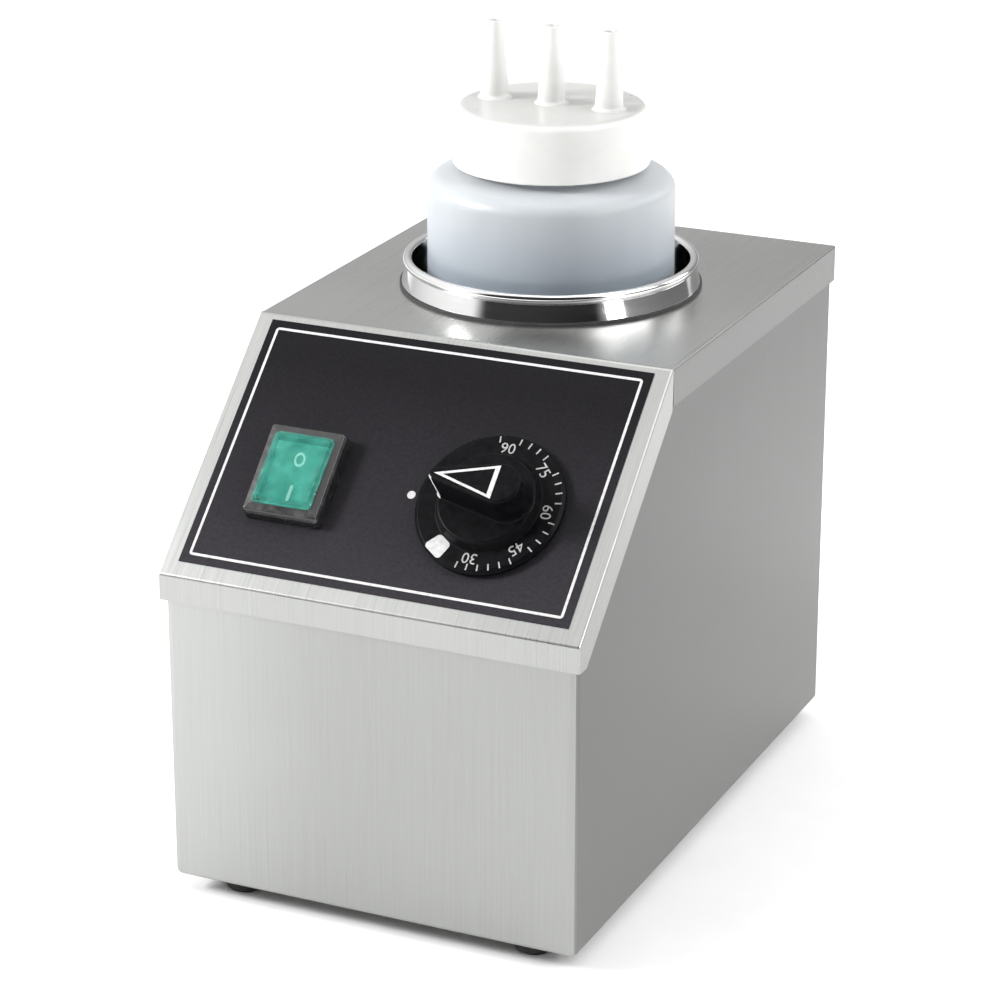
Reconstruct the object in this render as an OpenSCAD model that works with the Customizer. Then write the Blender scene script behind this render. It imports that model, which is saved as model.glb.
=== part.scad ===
// Topping warmer for one squeeze bottle: a folded stainless casing with a heated well,
// a sloping control face, and a translucent bottle with a three-nozzle screw cap.
// Millimetres. X to the right, Y to the back, Z up. Z = 0 is the surface it stands on,
// and X = Y = 0 is the middle of the whole warmer, its rear cable gland included.

/* [Casing] */
// Width across the two side walls
body_w = 155; // [150:1:180]
// Depth from the front wall to the rear panel's outer face
body_d = 240; // [234:1:280]
// Height of the flat top above the casing's bottom edge
body_h = 187; // [180:1:210]
// Height of the front fold above the casing's bottom edge
front_h = 115; // [108:1:122]
// Distance from the front wall to where the flat top begins
slope_run = 76.5; // [72:0.5:84]
// Thickness of the stainless sheet
sheet = 1.2; // [0.8:0.1:1.5]
// Outer radius of the two upright front corners
corner_r = 3; // [2:0.5:6]
// Width of the flange folded in along the bottom
floor_flange = 32; // [31:1:36]
// Width of the flanges folded in beside the rear panel
rear_flange = 12; // [10:1:16]

/* [Top cover] */
// Slack between the walls and the cover's turned-down lips
lip_gap = 0.3; // [0.2:0.1:1]
// Height of the lips round the flat top
top_lip = 13.5; // [12:0.5:18]
// Width of the lips beside the sloping face
slope_lip = 11; // [8:0.5:15]
// Height of the lip below the front fold
front_lip = 9.5; // [6:0.5:14]
// Width of the relief cut where the side lips meet
relief_w = 0.8; // [0.6:0.1:2]

/* [Vents] */
// Length of a vent slot
vent_len = 36; // [20:1:44]
// Width of a vent slot
vent_w = 3.5; // [2:0.5:5]
// Distance from one vent slot to the next
vent_pitch = 9; // [7:0.5:12]
// Number of slots in a row of vents
vent_count = 6; // [3:1:7]
// Height of the middle of the rear vents above the casing's bottom edge
vent_z = 128; // [110:1:140]

/* [Feet] */
// Diameter of a foot
foot_d = 14; // [12:1:20]
// Height of a foot
foot_h = 6.5; // [4:0.5:12]
// Distance of a foot's middle from the side wall
foot_in_x = 21; // [12:0.5:21]
// Distance of a foot's middle from the front wall and from the rear panel
foot_in_y = 14; // [14:0.5:20]

/* [Control face] */
// Thickness of the printed overlay
overlay_t = 0.4; // [0.2:0.1:0.6]
// Bare metal left beside the overlay
overlay_side = 4.5; // [3:0.5:12]
// Bare metal left below the overlay
overlay_low = 6; // [3:0.5:10]
// Bare metal left above the overlay
overlay_high = 2.5; // [2:0.5:8]

/* [Mains switch] */
// Distance of the switch to the left of the middle
switch_u = 40; // [32:0.5:46]
// Distance of the switch's middle up the slope from the front fold
switch_v = 43.4; // [36:0.1:50]
// Width of the black splash frame
frame_w = 29.6; // [28.8:0.1:34]
// Length of the black splash frame up the slope
frame_l = 35; // [33.2:0.1:38]
// Height of the splash frame above the overlay
frame_h = 6.4; // [6:0.1:9]
// Width of the rocker
rocker_w = 20.4; // [18:0.1:20.6]
// Length of the rocker
rocker_l = 24; // [20:0.1:24.2]
// Width of the well in the switch that holds the rocker
switch_well_w = 21; // [20.8:0.1:21.4]
// Length of the well in the switch that holds the rocker
switch_well_l = 26; // [25.6:0.1:26.4]
// Wall of the switch housing
switch_wall = 1.2; // [1:0.1:1.4]
// Depth of the switch housing below the face
switch_depth = 21; // [18:0.5:26]
// Tilt of the rocker to either side
rocker_tilt = 7; // [4:0.5:7]
// Diameter of the rocker's pivot pins
pivot_d = 3; // [2:0.1:3.6]
// Wall of the clear splash cover
splash_t = 0.7; // [0.5:0.1:1]

/* [Thermostat] */
// Distance of the knob to the right of the middle
knob_u = 32.5; // [30:0.5:38]
// Distance of the knob's middle up the slope from the front fold
knob_v = 44.5; // [40:0.5:50]
// Diameter of the knob's skirt
knob_d = 53; // [48:0.5:56]
// Height of the knob above the overlay
knob_h = 20.5; // [16:0.5:26]
// Thickness of the knob's skirt
skirt_t = 2.4; // [1.8:0.1:3]
// Diameter of the round hub under the grip
hub_d = 36; // [34:0.5:40]
// Width of the grip at its heel
grip_w = 15; // [12:0.5:18]
// Diameter of the thermostat's spindle
spindle_d = 6; // [5:0.5:7]
// Width and length of the thermostat's case
stat_w = 40; // [38:1:44]
// Depth of the thermostat's case
stat_depth = 27; // [22:0.5:30]
// Distance between the two fixing screws
stat_screws = 28; // [26:0.5:31]

/* [Well] */
// Distance of the well's axis from the front wall
well_y = 153; // [148:0.5:158]
// Inner diameter of the well
pot_d = 100.4; // [98:0.2:102]
// Depth of the well below the top of its rim
pot_depth = 150; // [140:1:156]
// Wall of the well
pot_wall = 0.8; // [0.6:0.1:1.2]
// Thickness of the rolled rim
bead = 3.5; // [3:0.1:4.5]
// Height of the rim's top above the casing's top
rim_h = 11; // [9:0.5:16]
// Wall of the polished collar at its top
collar_wall = 0.8; // [0.6:0.1:1.2]
// How far the collar's foot stands out beyond its top
collar_flare = 2.1; // [1:0.1:2.6]
// Thickness of the seal under the collar
seal_t = 1; // [0.6:0.1:1.5]
// Height of the heater band
heater_h = 46; // [30:1:50]
// Thickness of the heater band
heater_t = 1.8; // [1:0.1:2.2]
// Thickness of the insulation
wool_t = 8; // [5:0.5:10]
// Height of the insulation
wool_h = 100; // [80:1:108]
// Diameter of the sensing bulb
bulb_d = 6; // [5:0.1:6.4]
// Length of the sensing bulb
bulb_l = 42; // [35:1:44]

/* [Bottle] */
// Diameter of the bottle
bottle_d = 90; // [84:0.5:90.4]
// Height of the bottle's straight side
bottle_side = 174.5; // [165:0.5:190]
// Radius of the rounded shoulder
shoulder_r = 6; // [4:0.5:8]
// Rise of the shoulder from the rounding to the neck
shoulder_rise = 2.4; // [1.5:0.1:5]
// Outer diameter of the neck
neck_d = 62; // [60:0.5:63]
// Height of the neck
neck_h = 19.6; // [17:0.1:24]
// Wall of the bottle
bottle_wall = 1.3; // [1:0.1:2]

/* [Cap] */
// Diameter of the cap's skirt at its open edge
cap_d = 71.5; // [71:0.5:76]
// Diameter of the cap's flat top with its rounded edge
cap_top_d = 68.4; // [68:0.2:70]
// Height of the cap without its nozzles
cap_h = 21.3; // [20:0.1:24]
// Radius of the cap's top edge
cap_edge = 3; // [2:0.5:4]
// Thickness of the cap's top
cap_t = 1.8; // [1.4:0.1:2.4]
// Inner diameter of the cap's skirt
cap_bore = 66.4; // [66:0.1:66.8]
// Thickness of the sealing ring in the cap
ring_t = 1.4; // [1:0.1:2]
// Distance from one nozzle to the next
nozzle_pitch = 22.4; // [20:0.2:23]
// Height of a nozzle
nozzle_h = 28.2; // [20:0.2:36]
// Diameter of a nozzle at its foot
nozzle_d = 10.4; // [9:0.2:12]
// Diameter of a nozzle at its tip
tip_d = 5.6; // [5:0.2:7]
// Wall of a nozzle
nozzle_wall = 1.3; // [1:0.1:1.6]

/* [Cable gland] */
// Bore for the mains cable
gland_bore = 8; // [6:0.5:9]
// Width across the gland's hexagon
gland_hex = 22; // [19:0.5:24]
// How far the gland stands out behind the rear panel
gland_out = 14; // [11:0.5:24]
// Distance of the gland to the right of the middle
gland_x = 42; // [20:1:46]
// Height of the gland above the casing's bottom edge
gland_z = 34; // [28:1:50]

/* [Fasteners] */
// Diameter of the casing screws
screw_d = 4; // [3:0.5:4.5]
// Diameter of their pan heads
screw_head = 7.6; // [6:0.2:8.4]
// Height of their pan heads
screw_head_h = 2.4; // [1.6:0.2:3]

/* [Wiring] */
// Diameter of the internal wires
wire_d = 2.6; // [1.6:0.2:3]
// Diameter of the thermostat's capillary tube
capillary_d = 1.6; // [1:0.2:2]

/* [Hidden] */
$fn = 64;

// Clearances
hole_gap = 0.2;
seat_gap = 0.1;
panel_gap = 0.4;
run_gap = 0.05;
swing_gap = 0.5;
eps = 0.01;
// How far a cut reaches past the faces that it opens
over = 1;

// Levels above the surface that the warmer stands on
top_z = foot_h + body_h;
fold_z = foot_h + front_h;
floor_z = foot_h + 2 * sheet;
vent_edge = 6;
rim_z = top_z + rim_h;
pot_z = rim_z - pot_depth - pot_wall;

// Cover: how far its lips stand outside the walls, and the tilt and length of its slope
lip_out = lip_gap + sheet;
tilt = atan2(top_z - fold_z, slope_run + lip_out);
slope_len = norm([top_z - fold_z, slope_run + lip_out]);
y_mid = (body_d + gland_out - lip_out) / 2;

// Height at y, and y at height z, of a line at a given depth below the sloping face
function slope_z(y, depth) = fold_z + ((y + lip_out) * sin(tilt) - depth) / cos(tilt);
function slope_y(z, depth) = (depth + (z - fold_z) * cos(tilt)) / sin(tilt) - lip_out;

// Where a point of the control face lies: u to the right, v up the slope, h out of it
function face_point(u, v, h) = [u,
    v * cos(tilt) - h * sin(tilt) - lip_out,
    fold_z + v * sin(tilt) + h * cos(tilt)];
face_out = [0, -sin(tilt), cos(tilt)];

// Overlay
overlay_w = body_w - 2 * overlay_side;
overlay_l = slope_len - overlay_low - overlay_high;

// Switch: heights are above the metal face
pivot_h = -1;
rocker_top = 5;
rocker_dip = 0.9;
rocker_depth = 6;
rocker_edge = 1;
rocker_pin_gap = 0.2;
pivot_reach = switch_well_w / 2 + switch_wall - rocker_pin_gap;
switch_out_w = switch_well_w + 2 * switch_wall;
switch_out_l = switch_well_l + 2 * switch_wall;
switch_flange = 1.4;
switch_flange_t = 2;
frame_step = 0.7;
frame_step_h = 1;
cover_wall = 0.8;
splash_rise = 1.8;
blade_w = 6.3;
blade_t = 0.8;
blade_l = 9;
blade_u = 5;
blade_v = 7;

// Thermostat: its bracket lies against the inside of the cover
stat_top = -sheet - seat_gap;
bracket_t = 1;
stat_case_top = stat_top - bracket_t;
stat_end = stat_case_top - stat_depth;
bracket_lap = 2;
spindle_hole = spindle_d + 4;
spindle_in = 14;
spindle_top = overlay_t + 14;
spindle_flat = 1.2;
flat_start = 2;
stat_screw_l = 6;
stat_blade_u = 12;
stat_blade_v = -10;
csk_d = screw_d + 2 * (sheet - hole_gap);

// Knob
skirt_h = overlay_t + 1;
skirt_bevel = 1.2;
hub_h = 4;
hub_taper = 1;
nose_r = 2.4;
heel_inset = 1.5;
nose_inset = 1.2;

// Well, seen from its axis
pot_r = pot_d / 2 + pot_wall;
bead_lap = 0.5;
bead_r = pot_r + bead / 2 - bead_lap;
collar_inset = 1.4;
collar_r = bead_r + bead / 2 - collar_inset;
seal_lip = 0.5;
seal_r = collar_r + collar_flare + seal_lip;
pot_clear = 0.6;
hole_r = pot_r + pot_clear;
heater_rise = 22;
heater_z = pot_z + heater_rise;
wool_rise = 14;
wool_z = pot_z + wool_rise;
wool_clear = 1;
wool_r = pot_r + heater_t + wool_clear;
wool_gap = 28;
band_slot = 8;
ear_t = 1;
ear_l = 9;
ear_y = pot_r + heater_t + ear_l * 0.55;
nut_d = 7;
nut_h = 3;
bulb_rise = 5;
bulb_z = heater_z + heater_h + bulb_rise;
sleeve_t = 0.8;
sleeve_h = 12;
bulb_y = well_y - pot_r - seat_gap - sleeve_t - run_gap - bulb_d / 2;

// Support under the well
support_w = 66;
support_l = 60;
support_foot = 10;
cutout_d = 16;
cutout_h = 9;
tab_l = 4;
tab_w = 7;
tab_t = 0.8;
cutout_hole = cutout_d + 2 * tab_l + 4;
cutout_blade_u = 4.5;
cutout_blade_l = 6.3;

// Terminal block by the left side wall, and earth stud ahead of it
block_in = 3.3;
block_w = 28;
block_l = 18;
block_h = 16;
block_pitch = 8.5;
block_hole = 4;
block_x = sheet + block_in + (block_w - body_w) / 2;
block_back = 22;
block_y = body_d - block_back - block_l / 2;
washer_d = 9;
washer_t = 1;
stud_nut_d = 8;
stud_nut_h = 3.2;
earth_h = 12;
earth_ahead = 10.5;
earth_x = block_x + block_pitch;
earth_y = block_y - block_l / 2 - earth_ahead;

// Bottle and cap, from the inside of the well's floor
heel_r = 4;
neck_wall = 2;
bottle_z = rim_z - pot_depth + seat_gap;
shoulder_z = bottle_z + bottle_side;
neck_z = shoulder_z + shoulder_r + shoulder_rise;
lip_z = neck_z + neck_h;
ring_z = lip_z + seat_gap;
cap_under = ring_z + ring_t + seat_gap;
cap_top = cap_under + cap_t;
cap_z = cap_top - cap_h;
neck_bore = neck_d - 2 * neck_wall;
neck_root = 0.6;
ring_lap = 1;
ring_slack = 0.4;
tip_wall = 1.1;

// Rear screws: one pair low, one pair under the cover's lip
rear_screw_x = body_w / 2 - sheet - rear_flange / 2;
rear_screw_rise = 22;
rear_screw_low = foot_h + rear_screw_rise;
rear_screw_drop = 14;
rear_screw_high = top_z - top_lip - rear_screw_drop;
cover_screw_in = 27;
cover_screw_x = body_w / 2 - cover_screw_in;
cover_screw_z = top_z - top_lip / 2;
screw_l = 7;

// Gland
gland_wall = 3.5;
gland_thread = gland_bore + 2 * gland_wall;
gland_in = 12;
gland_nut_h = 5;
gland_neck_h = 1;
locknut_t = 5;
locknut_rim = 3;

foot_x = body_w / 2 - foot_in_x;
foot_rows = [foot_in_y, body_d - foot_in_y];
foot_sink = 2.6;
foot_edge = 1;
foot_screw_out = 3;

// Points of an arc of radius r about [x, y], from angle a to angle b
function arc(x, y, r, a, b, steps = 8) =
    [for (i = [0:steps]) let (t = a + (b - a) * i / steps) [x + r * cos(t), y + r * sin(t)]];

module from_front(x = 0, y = 0, z = 0) translate([x, y - y_mid, z]) children();
module in_well(z = 0) from_front(0, well_y, z) children();
module on_face(u, v, h = 0)
    from_front(u, v * cos(tilt) - lip_out, fold_z + v * sin(tilt))
        rotate([tilt, 0, 0]) translate([0, 0, h]) children();

// Extrudes an outline drawn in Y and Z across the width w
module across(w) rotate([90, 0, 90]) linear_extrude(w, center = true) children();

// A block centred in x and y, standing on z = 0
module block(w, l, h) translate([-w / 2, -l / 2, 0]) cube([w, l, h]);

module tube(r_in, r_out, h) rotate_extrude() translate([r_in, 0]) square([r_out - r_in, h]);

// Plan of the casing, rounded at the two front corners
module plan(w, d, r) {
    translate([-w / 2, r]) square([w, d - r]);
    translate([-w / 2 + r, 0]) square([w - 2 * r, r + eps]);
    for (x = [-1, 1]) translate([x * (w / 2 - r), r]) circle(r);
}

// Pan head screw, pointing down, its head standing on z = 0
module pan_screw(l) {
    difference() {
        cylinder(d1 = screw_head, d2 = screw_head * 0.8, h = screw_head_h);
        for (a = [0, 90]) rotate(a) translate([0, 0, screw_head_h * 0.45])
            block(screw_head * 0.55, 0.9, screw_head_h);
    }
    translate([0, 0, -l]) cylinder(d = screw_d, h = l + eps);
}

// Clearance hole for a casing screw through a sheet that stands on z = 0
module screw_hole(t) translate([0, 0, -over]) cylinder(d = screw_d + 2 * hole_gap, h = t + 2 * over);

// A row of round-ended slots along x, each running along y
module vent_row(t) {
    for (i = [0:vent_count - 1]) translate([(i - (vent_count - 1) / 2) * vent_pitch, 0, -t / 2])
        linear_extrude(t) {
            square([vent_w, vent_len - vent_w], center = true);
            for (s = [-1, 1]) translate([0, s * (vent_len - vent_w) / 2]) circle(d = vent_w);
        }
}

// Casing
module body_shell() color("silver") from_front() difference() {
    intersection() {
        union() {
            linear_extrude(top_z) difference() {
                plan(body_w, body_d, corner_r);
                translate([0, sheet]) plan(body_w - 2 * sheet, body_d, corner_r - sheet);
            }
            translate([0, 0, foot_h]) linear_extrude(sheet) difference() {
                plan(body_w, body_d - sheet, corner_r);
                translate([floor_flange - body_w / 2, floor_flange])
                    square([body_w - 2 * floor_flange, body_d]);
            }
            for (s = [-1, 1])
                translate([s * (body_w / 2 - (rear_flange + sheet) / 2), body_d - 1.5 * sheet, 0])
                    block(rear_flange + sheet, sheet, top_z);
        }
        across(body_w + 2 * over) polygon([
            [-over, foot_h], [body_d, foot_h],
            [body_d, top_z - sheet - seat_gap],
            [slope_y(top_z - sheet - seat_gap, sheet + seat_gap), top_z - sheet - seat_gap],
            [-over, slope_z(-over, sheet + seat_gap)]]);
    }
    for (x = [-foot_x, foot_x], y = foot_rows) translate([x, y, foot_h]) screw_hole(sheet);
    for (x = [-1, 1], z = [rear_screw_low, rear_screw_high])
        translate([x * rear_screw_x, body_d - sheet, z]) rotate([90, 0, 0]) screw_hole(sheet);
}

// Outline of the cover seen from the side, with its lips
function cover_outline() = [
    [-lip_out, fold_z - front_lip], [-lip_out, fold_z], [slope_run, top_z],
    [body_d + lip_out, top_z], [body_d + lip_out, top_z - top_lip],
    [slope_run, top_z - top_lip], [slope_run, slope_z(slope_run, slope_lip)],
    [slope_y(fold_z - front_lip, slope_lip), fold_z - front_lip]];

// Outline of the space under the cover, open at the bottom
function cover_hollow() = [
    [-lip_gap, foot_h], [-lip_gap, slope_z(-lip_gap, sheet)],
    [slope_y(top_z - sheet, sheet), top_z - sheet],
    [body_d + lip_gap, top_z - sheet], [body_d + lip_gap, foot_h]];

module top_cover() color("gainsboro") difference() {
    from_front() difference() {
        across(body_w + 2 * lip_out) polygon(cover_outline());
        across(body_w + 2 * lip_gap) polygon(cover_hollow());
        for (s = [-1, 1]) translate([s * (body_w / 2 + lip_gap + sheet), slope_run, fold_z])
            translate([0, relief_w / 2, 0]) block(4 * sheet, relief_w, top_z - fold_z - sheet);
        for (x = [-cover_screw_x, cover_screw_x]) translate([x, body_d, cover_screw_z])
            rotate([-90, 0, 0]) screw_hole(lip_out);
    }
    in_well(top_z - sheet - over) cylinder(r = hole_r, h = sheet + 2 * over);
    on_face(-switch_u, switch_v, -2 * sheet)
        block(switch_out_w + 2 * panel_gap, switch_out_l + 2 * panel_gap, 4 * sheet);
    on_face(knob_u, knob_v, -2 * sheet) cylinder(d = spindle_hole, h = 4 * sheet);
    for (s = [-1, 1]) on_face(knob_u + s * stat_screws / 2, knob_v, 0) {
        translate([0, 0, -sheet]) screw_hole(sheet);
        translate([0, 0, -(csk_d - screw_d) / 2])
            cylinder(d1 = screw_d, d2 = csk_d + 2 * eps, h = (csk_d - screw_d) / 2 + eps);
    }
}

module rear_panel() color("silver") from_front(0, body_d - sheet, 0) difference() {
    translate([0, sheet / 2, foot_h])
        block(body_w - 2 * sheet - 2 * panel_gap, sheet, body_h - sheet - panel_gap);
    for (z = [-1, 1]) translate([0, sheet / 2, foot_h + vent_z + z * vent_len * 0.6])
        rotate([90, 0, 0]) vent_row(sheet + 2 * over);
    for (x = [-1, 1], z = [rear_screw_low, rear_screw_high])
        translate([x * rear_screw_x, 0, z]) rotate([-90, 0, 0]) screw_hole(sheet);
    for (x = [-cover_screw_x, cover_screw_x]) translate([x, 0, cover_screw_z])
        rotate([-90, 0, 0]) screw_hole(sheet);
    translate([gland_x, -over, foot_h + gland_z]) rotate([-90, 0, 0])
        cylinder(d = gland_thread + 2 * hole_gap, h = sheet + 2 * over);
}

module base_plate() color("silver") from_front() difference() {
    translate([0, sheet + panel_gap, foot_h + sheet]) linear_extrude(sheet)
        plan(body_w - 2 * sheet - 2 * panel_gap, body_d - 3 * sheet - 2 * panel_gap, corner_r);
    for (x = [-foot_x, foot_x], y = foot_rows)
        translate([x, y, foot_h + sheet]) screw_hole(sheet);
    for (y = [floor_flange + vent_len / 2 + vent_edge, well_y])
        translate([0, y, floor_z]) vent_row(4 * sheet);
    translate([earth_x, earth_y, foot_h + sheet]) screw_hole(sheet);
}

// Bridge that carries the well's floor, with an opening for the thermal cutout
module well_support() color("darkgray") in_well() {
    top = pot_z - seat_gap - floor_z;
    translate([0, 0, floor_z]) difference() {
        translate([0, support_l / 2, 0]) rotate([90, 0, 0]) linear_extrude(support_l)
            difference() {
                union() {
                    translate([-support_w / 2, 0]) square([support_w, top]);
                    translate([-support_w / 2 - support_foot, 0])
                        square([support_w + 2 * support_foot, sheet]);
                }
                translate([-support_w / 2 + sheet, -over])
                    square([support_w - 2 * sheet, top - sheet + over]);
            }
        translate([0, 0, top - 2 * sheet]) cylinder(d = cutout_hole, h = 3 * sheet);
    }
}

module foot_pads() color("black")
    for (x = [-foot_x, foot_x], y = foot_rows) from_front(x, y) difference() {
        union() {
            translate([0, 0, foot_edge]) cylinder(d = foot_d, h = foot_h - foot_edge);
            cylinder(d1 = foot_d - 2 * foot_edge, d2 = foot_d, h = foot_edge + eps);
        }
        translate([0, 0, -over]) cylinder(d = screw_head + 2 * swing_gap, h = foot_sink + over);
        screw_hole(foot_h);
    }

module foot_screws() color("lightgray")
    for (x = [-foot_x, foot_x], y = foot_rows)
        from_front(x, y, foot_sink) rotate([180, 0, 0])
            pan_screw(foot_h - foot_sink + 2 * sheet + foot_screw_out);

module rear_screws() color("lightgray")
    for (x = [-1, 1], z = [rear_screw_low, rear_screw_high])
        from_front(x * rear_screw_x, body_d, z) rotate([-90, 0, 0]) pan_screw(screw_l);

module cover_screws() color("lightgray")
    for (x = [-cover_screw_x, cover_screw_x])
        from_front(x, body_d + lip_out, cover_screw_z) rotate([-90, 0, 0]) pan_screw(screw_l);

// Control face
module control_overlay() color("dimgray") difference() {
    on_face(0, overlay_low + overlay_l / 2) block(overlay_w, overlay_l, overlay_t);
    on_face(-switch_u, switch_v, -over)
        block(switch_out_w + 2 * panel_gap, switch_out_l + 2 * panel_gap, overlay_t + 2 * over);
    on_face(knob_u, knob_v, -over) cylinder(d = spindle_hole, h = overlay_t + 2 * over);
}

module switch_housing() color("black") on_face(-switch_u, switch_v) difference() {
    union() {
        translate([0, 0, -switch_depth])
            block(switch_out_w, switch_out_l, switch_depth + overlay_t + eps);
        translate([0, 0, overlay_t]) block(switch_out_w + 2 * switch_flange,
            switch_out_l + 2 * switch_flange, switch_flange_t);
    }
    translate([0, 0, switch_wall - switch_depth])
        block(switch_well_w, switch_well_l, switch_depth + 10);
    translate([-switch_out_w, 0, pivot_h]) rotate([0, 90, 0])
        cylinder(d = pivot_d + 2 * run_gap, h = 2 * switch_out_w);
}

// Rocker, tilted with its lower half pressed: off
module switch_rocker() color("mediumseagreen")
    on_face(-switch_u, switch_v, pivot_h) rotate([rocker_tilt, 0, 0]) {
        top = rocker_top - pivot_h;
        across(rocker_w) polygon([
            [-rocker_l / 2, top], [0, top - rocker_dip], [rocker_l / 2, top],
            [rocker_l / 2, -rocker_edge], [rocker_l / 4, -rocker_depth],
            [-rocker_l / 4, -rocker_depth], [-rocker_l / 2, -rocker_edge]]);
        rotate([0, 90, 0]) cylinder(d = pivot_d, h = 2 * pivot_reach, center = true);
    }

module splash_frame() color("black") on_face(-switch_u, switch_v, overlay_t) difference() {
    union() {
        block(frame_w, frame_l, frame_h - frame_step_h);
        block(frame_w - 2 * frame_step, frame_l - 2 * frame_step, frame_h);
    }
    translate([0, 0, -over]) block(switch_out_w + 2 * switch_flange + 2 * hole_gap,
        switch_out_l + 2 * switch_flange + 2 * hole_gap, switch_flange_t + hole_gap + over);
    block(switch_well_w + swing_gap, switch_well_l + swing_gap, frame_h + over);
}

// Clear cover: a shallow dome over the rocker with a flat rim on the frame
module splash_cover() color("white", 0.35)
    on_face(-switch_u, switch_v, overlay_t + frame_h + seat_gap) difference() {
        w = switch_well_w + swing_gap;
        l = switch_well_l + swing_gap;
        union() {
            block(w + 2 * cover_wall, l + 2 * cover_wall, splash_t);
            block(w, l, splash_t + splash_rise);
        }
        translate([0, 0, -over]) block(w - 2 * splash_t, l - 2 * splash_t, over + splash_rise);
    }

module switch_terminals() color("gold")
    for (u = [-blade_u, blade_u], v = [-blade_v, blade_v])
        on_face(u - switch_u, switch_v + v, -switch_depth - blade_l)
            block(blade_t, blade_w, blade_l);

module thermostat_case() color("lightgray") on_face(knob_u, knob_v, stat_end) difference() {
    block(stat_w, stat_w, stat_depth);
    translate([0, 0, stat_depth - spindle_in - over])
        cylinder(d = spindle_d + 2 * run_gap, h = spindle_in + 2 * over);
    for (s = [-1, 1]) translate([s * stat_screws / 2, 0, stat_depth - stat_screw_l])
        cylinder(d = screw_d + 4 * hole_gap, h = stat_screw_l + over);
}

module thermostat_bracket() color("silver") on_face(knob_u, knob_v, stat_case_top) difference() {
    block(stat_w + 2 * bracket_lap, stat_w - 4 * bracket_lap, bracket_t);
    translate([0, 0, -over]) cylinder(d = spindle_hole, h = bracket_t + 2 * over);
    for (s = [-1, 1]) translate([s * stat_screws / 2, 0, -over])
        cylinder(d = screw_d + 2 * run_gap, h = bracket_t + 2 * over);
}

module thermostat_screws() color("lightgray")
    for (s = [-1, 1]) on_face(knob_u + s * stat_screws / 2, knob_v, -seat_gap) {
        head = (csk_d - screw_d) / 2 - seat_gap;
        translate([0, 0, -head]) cylinder(d1 = screw_d, d2 = csk_d - 2 * seat_gap, h = head);
        translate([0, 0, -sheet - stat_screw_l + 1])
            cylinder(d = screw_d, h = sheet + stat_screw_l - 1 - head + eps);
    }

module thermostat_terminals() color("gold")
    for (s = [-1, 1])
        on_face(knob_u + s * stat_blade_u, knob_v + stat_blade_v, stat_end - blade_l)
            block(blade_t, blade_w, blade_l);

module thermostat_spindle() color("lightgray") on_face(knob_u, knob_v, 0) difference() {
    translate([0, 0, stat_case_top - spindle_in])
        cylinder(d = spindle_d, h = spindle_top - stat_case_top + spindle_in);
    translate([-spindle_d, spindle_d / 2 - spindle_flat, skirt_h + flat_start])
        cube([2 * spindle_d, spindle_d, spindle_top]);
}

// Outline of the grip: a round heel and a narrow nose that points to the left
function grip_outline() = let (
        heel_x = hub_d / 2 - grip_w / 2 - heel_inset,
        nose_x = nose_r + nose_inset - hub_d / 2,
        lean = asin((grip_w / 2 - nose_r) / (heel_x - nose_x)))
    concat(arc(heel_x, 0, grip_w / 2, -90 - lean, 90 + lean, 16),
        arc(nose_x, 0, nose_r, 90 + lean, 270 - lean));

module control_knob() color("black") on_face(knob_u, knob_v, skirt_h) difference() {
    union() {
        cylinder(d = knob_d, h = skirt_t * 0.5);
        translate([0, 0, skirt_t * 0.5 - eps])
            cylinder(d1 = knob_d, d2 = knob_d - 2 * skirt_bevel, h = skirt_t * 0.5 + eps);
        translate([0, 0, skirt_t - eps]) cylinder(d1 = hub_d, d2 = hub_d - 2 * hub_taper, h = hub_h);
        linear_extrude(knob_h + overlay_t - skirt_h) polygon(grip_outline());
    }
    translate([0, 0, -over]) difference() {
        cylinder(d = spindle_d + 2 * run_gap, h = spindle_top - skirt_h + over + seat_gap);
        translate([-spindle_d, spindle_d / 2 - spindle_flat + run_gap, over + flat_start + hole_gap])
            cube([2 * spindle_d, spindle_d, spindle_top]);
    }
}

// Well
module well_pot() color("gainsboro") in_well(pot_z) rotate_extrude() {
    h = pot_depth + pot_wall;
    difference() {
        square([pot_r, h - bead / 2]);
        translate([-over, pot_wall]) square([pot_r - pot_wall + over, h]);
    }
    translate([bead_r, h - bead / 2]) circle(d = bead, $fn = 32);
}

module well_collar() color("whitesmoke") in_well(top_z + seal_t) difference() {
    collar_h = rim_h - seal_t - bead - seat_gap;
    cylinder(r1 = collar_r + collar_flare, r2 = collar_r, h = collar_h);
    translate([0, 0, -over]) cylinder(r = collar_r - collar_wall, h = collar_h + 2 * over);
}

module well_seal() color("darkslategray") in_well(top_z)
    tube(hole_r, seal_r, seal_t);

// Heater band: a strip bent round the well, with two ears drawn together at the back
module heater_band() color("peru") in_well(heater_z) difference() {
    union() {
        tube(pot_r + seat_gap, pot_r + heater_t, heater_h);
        for (s = [-1, 1]) translate([s * (band_slot + ear_t) / 2, pot_r + heater_t / 2 + ear_l / 2, 0])
            block(ear_t, ear_l + heater_t / 2, heater_h);
    }
    translate([0, pot_r, -over]) block(band_slot, 4 * ear_l, heater_h + 2 * over);
    for (z = [0.25, 0.75]) translate([-band_slot, ear_y, z * heater_h])
        rotate([0, 90, 0]) cylinder(d = screw_d + 2 * hole_gap, h = 2 * band_slot);
}

module band_clamp() color("lightgray")
    for (z = [0.25, 0.75])
        in_well(heater_z + z * heater_h) translate([0, ear_y, 0]) rotate([0, 90, 0]) {
            cylinder(d = screw_d, h = band_slot + 2 * (ear_t + nut_h), center = true);
            for (s = [-1, 1]) translate([0, 0, s * (band_slot / 2 + ear_t + nut_h / 2 + seat_gap)])
                cylinder(d = nut_d, h = nut_h, center = true, $fn = 6);
        }

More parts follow.
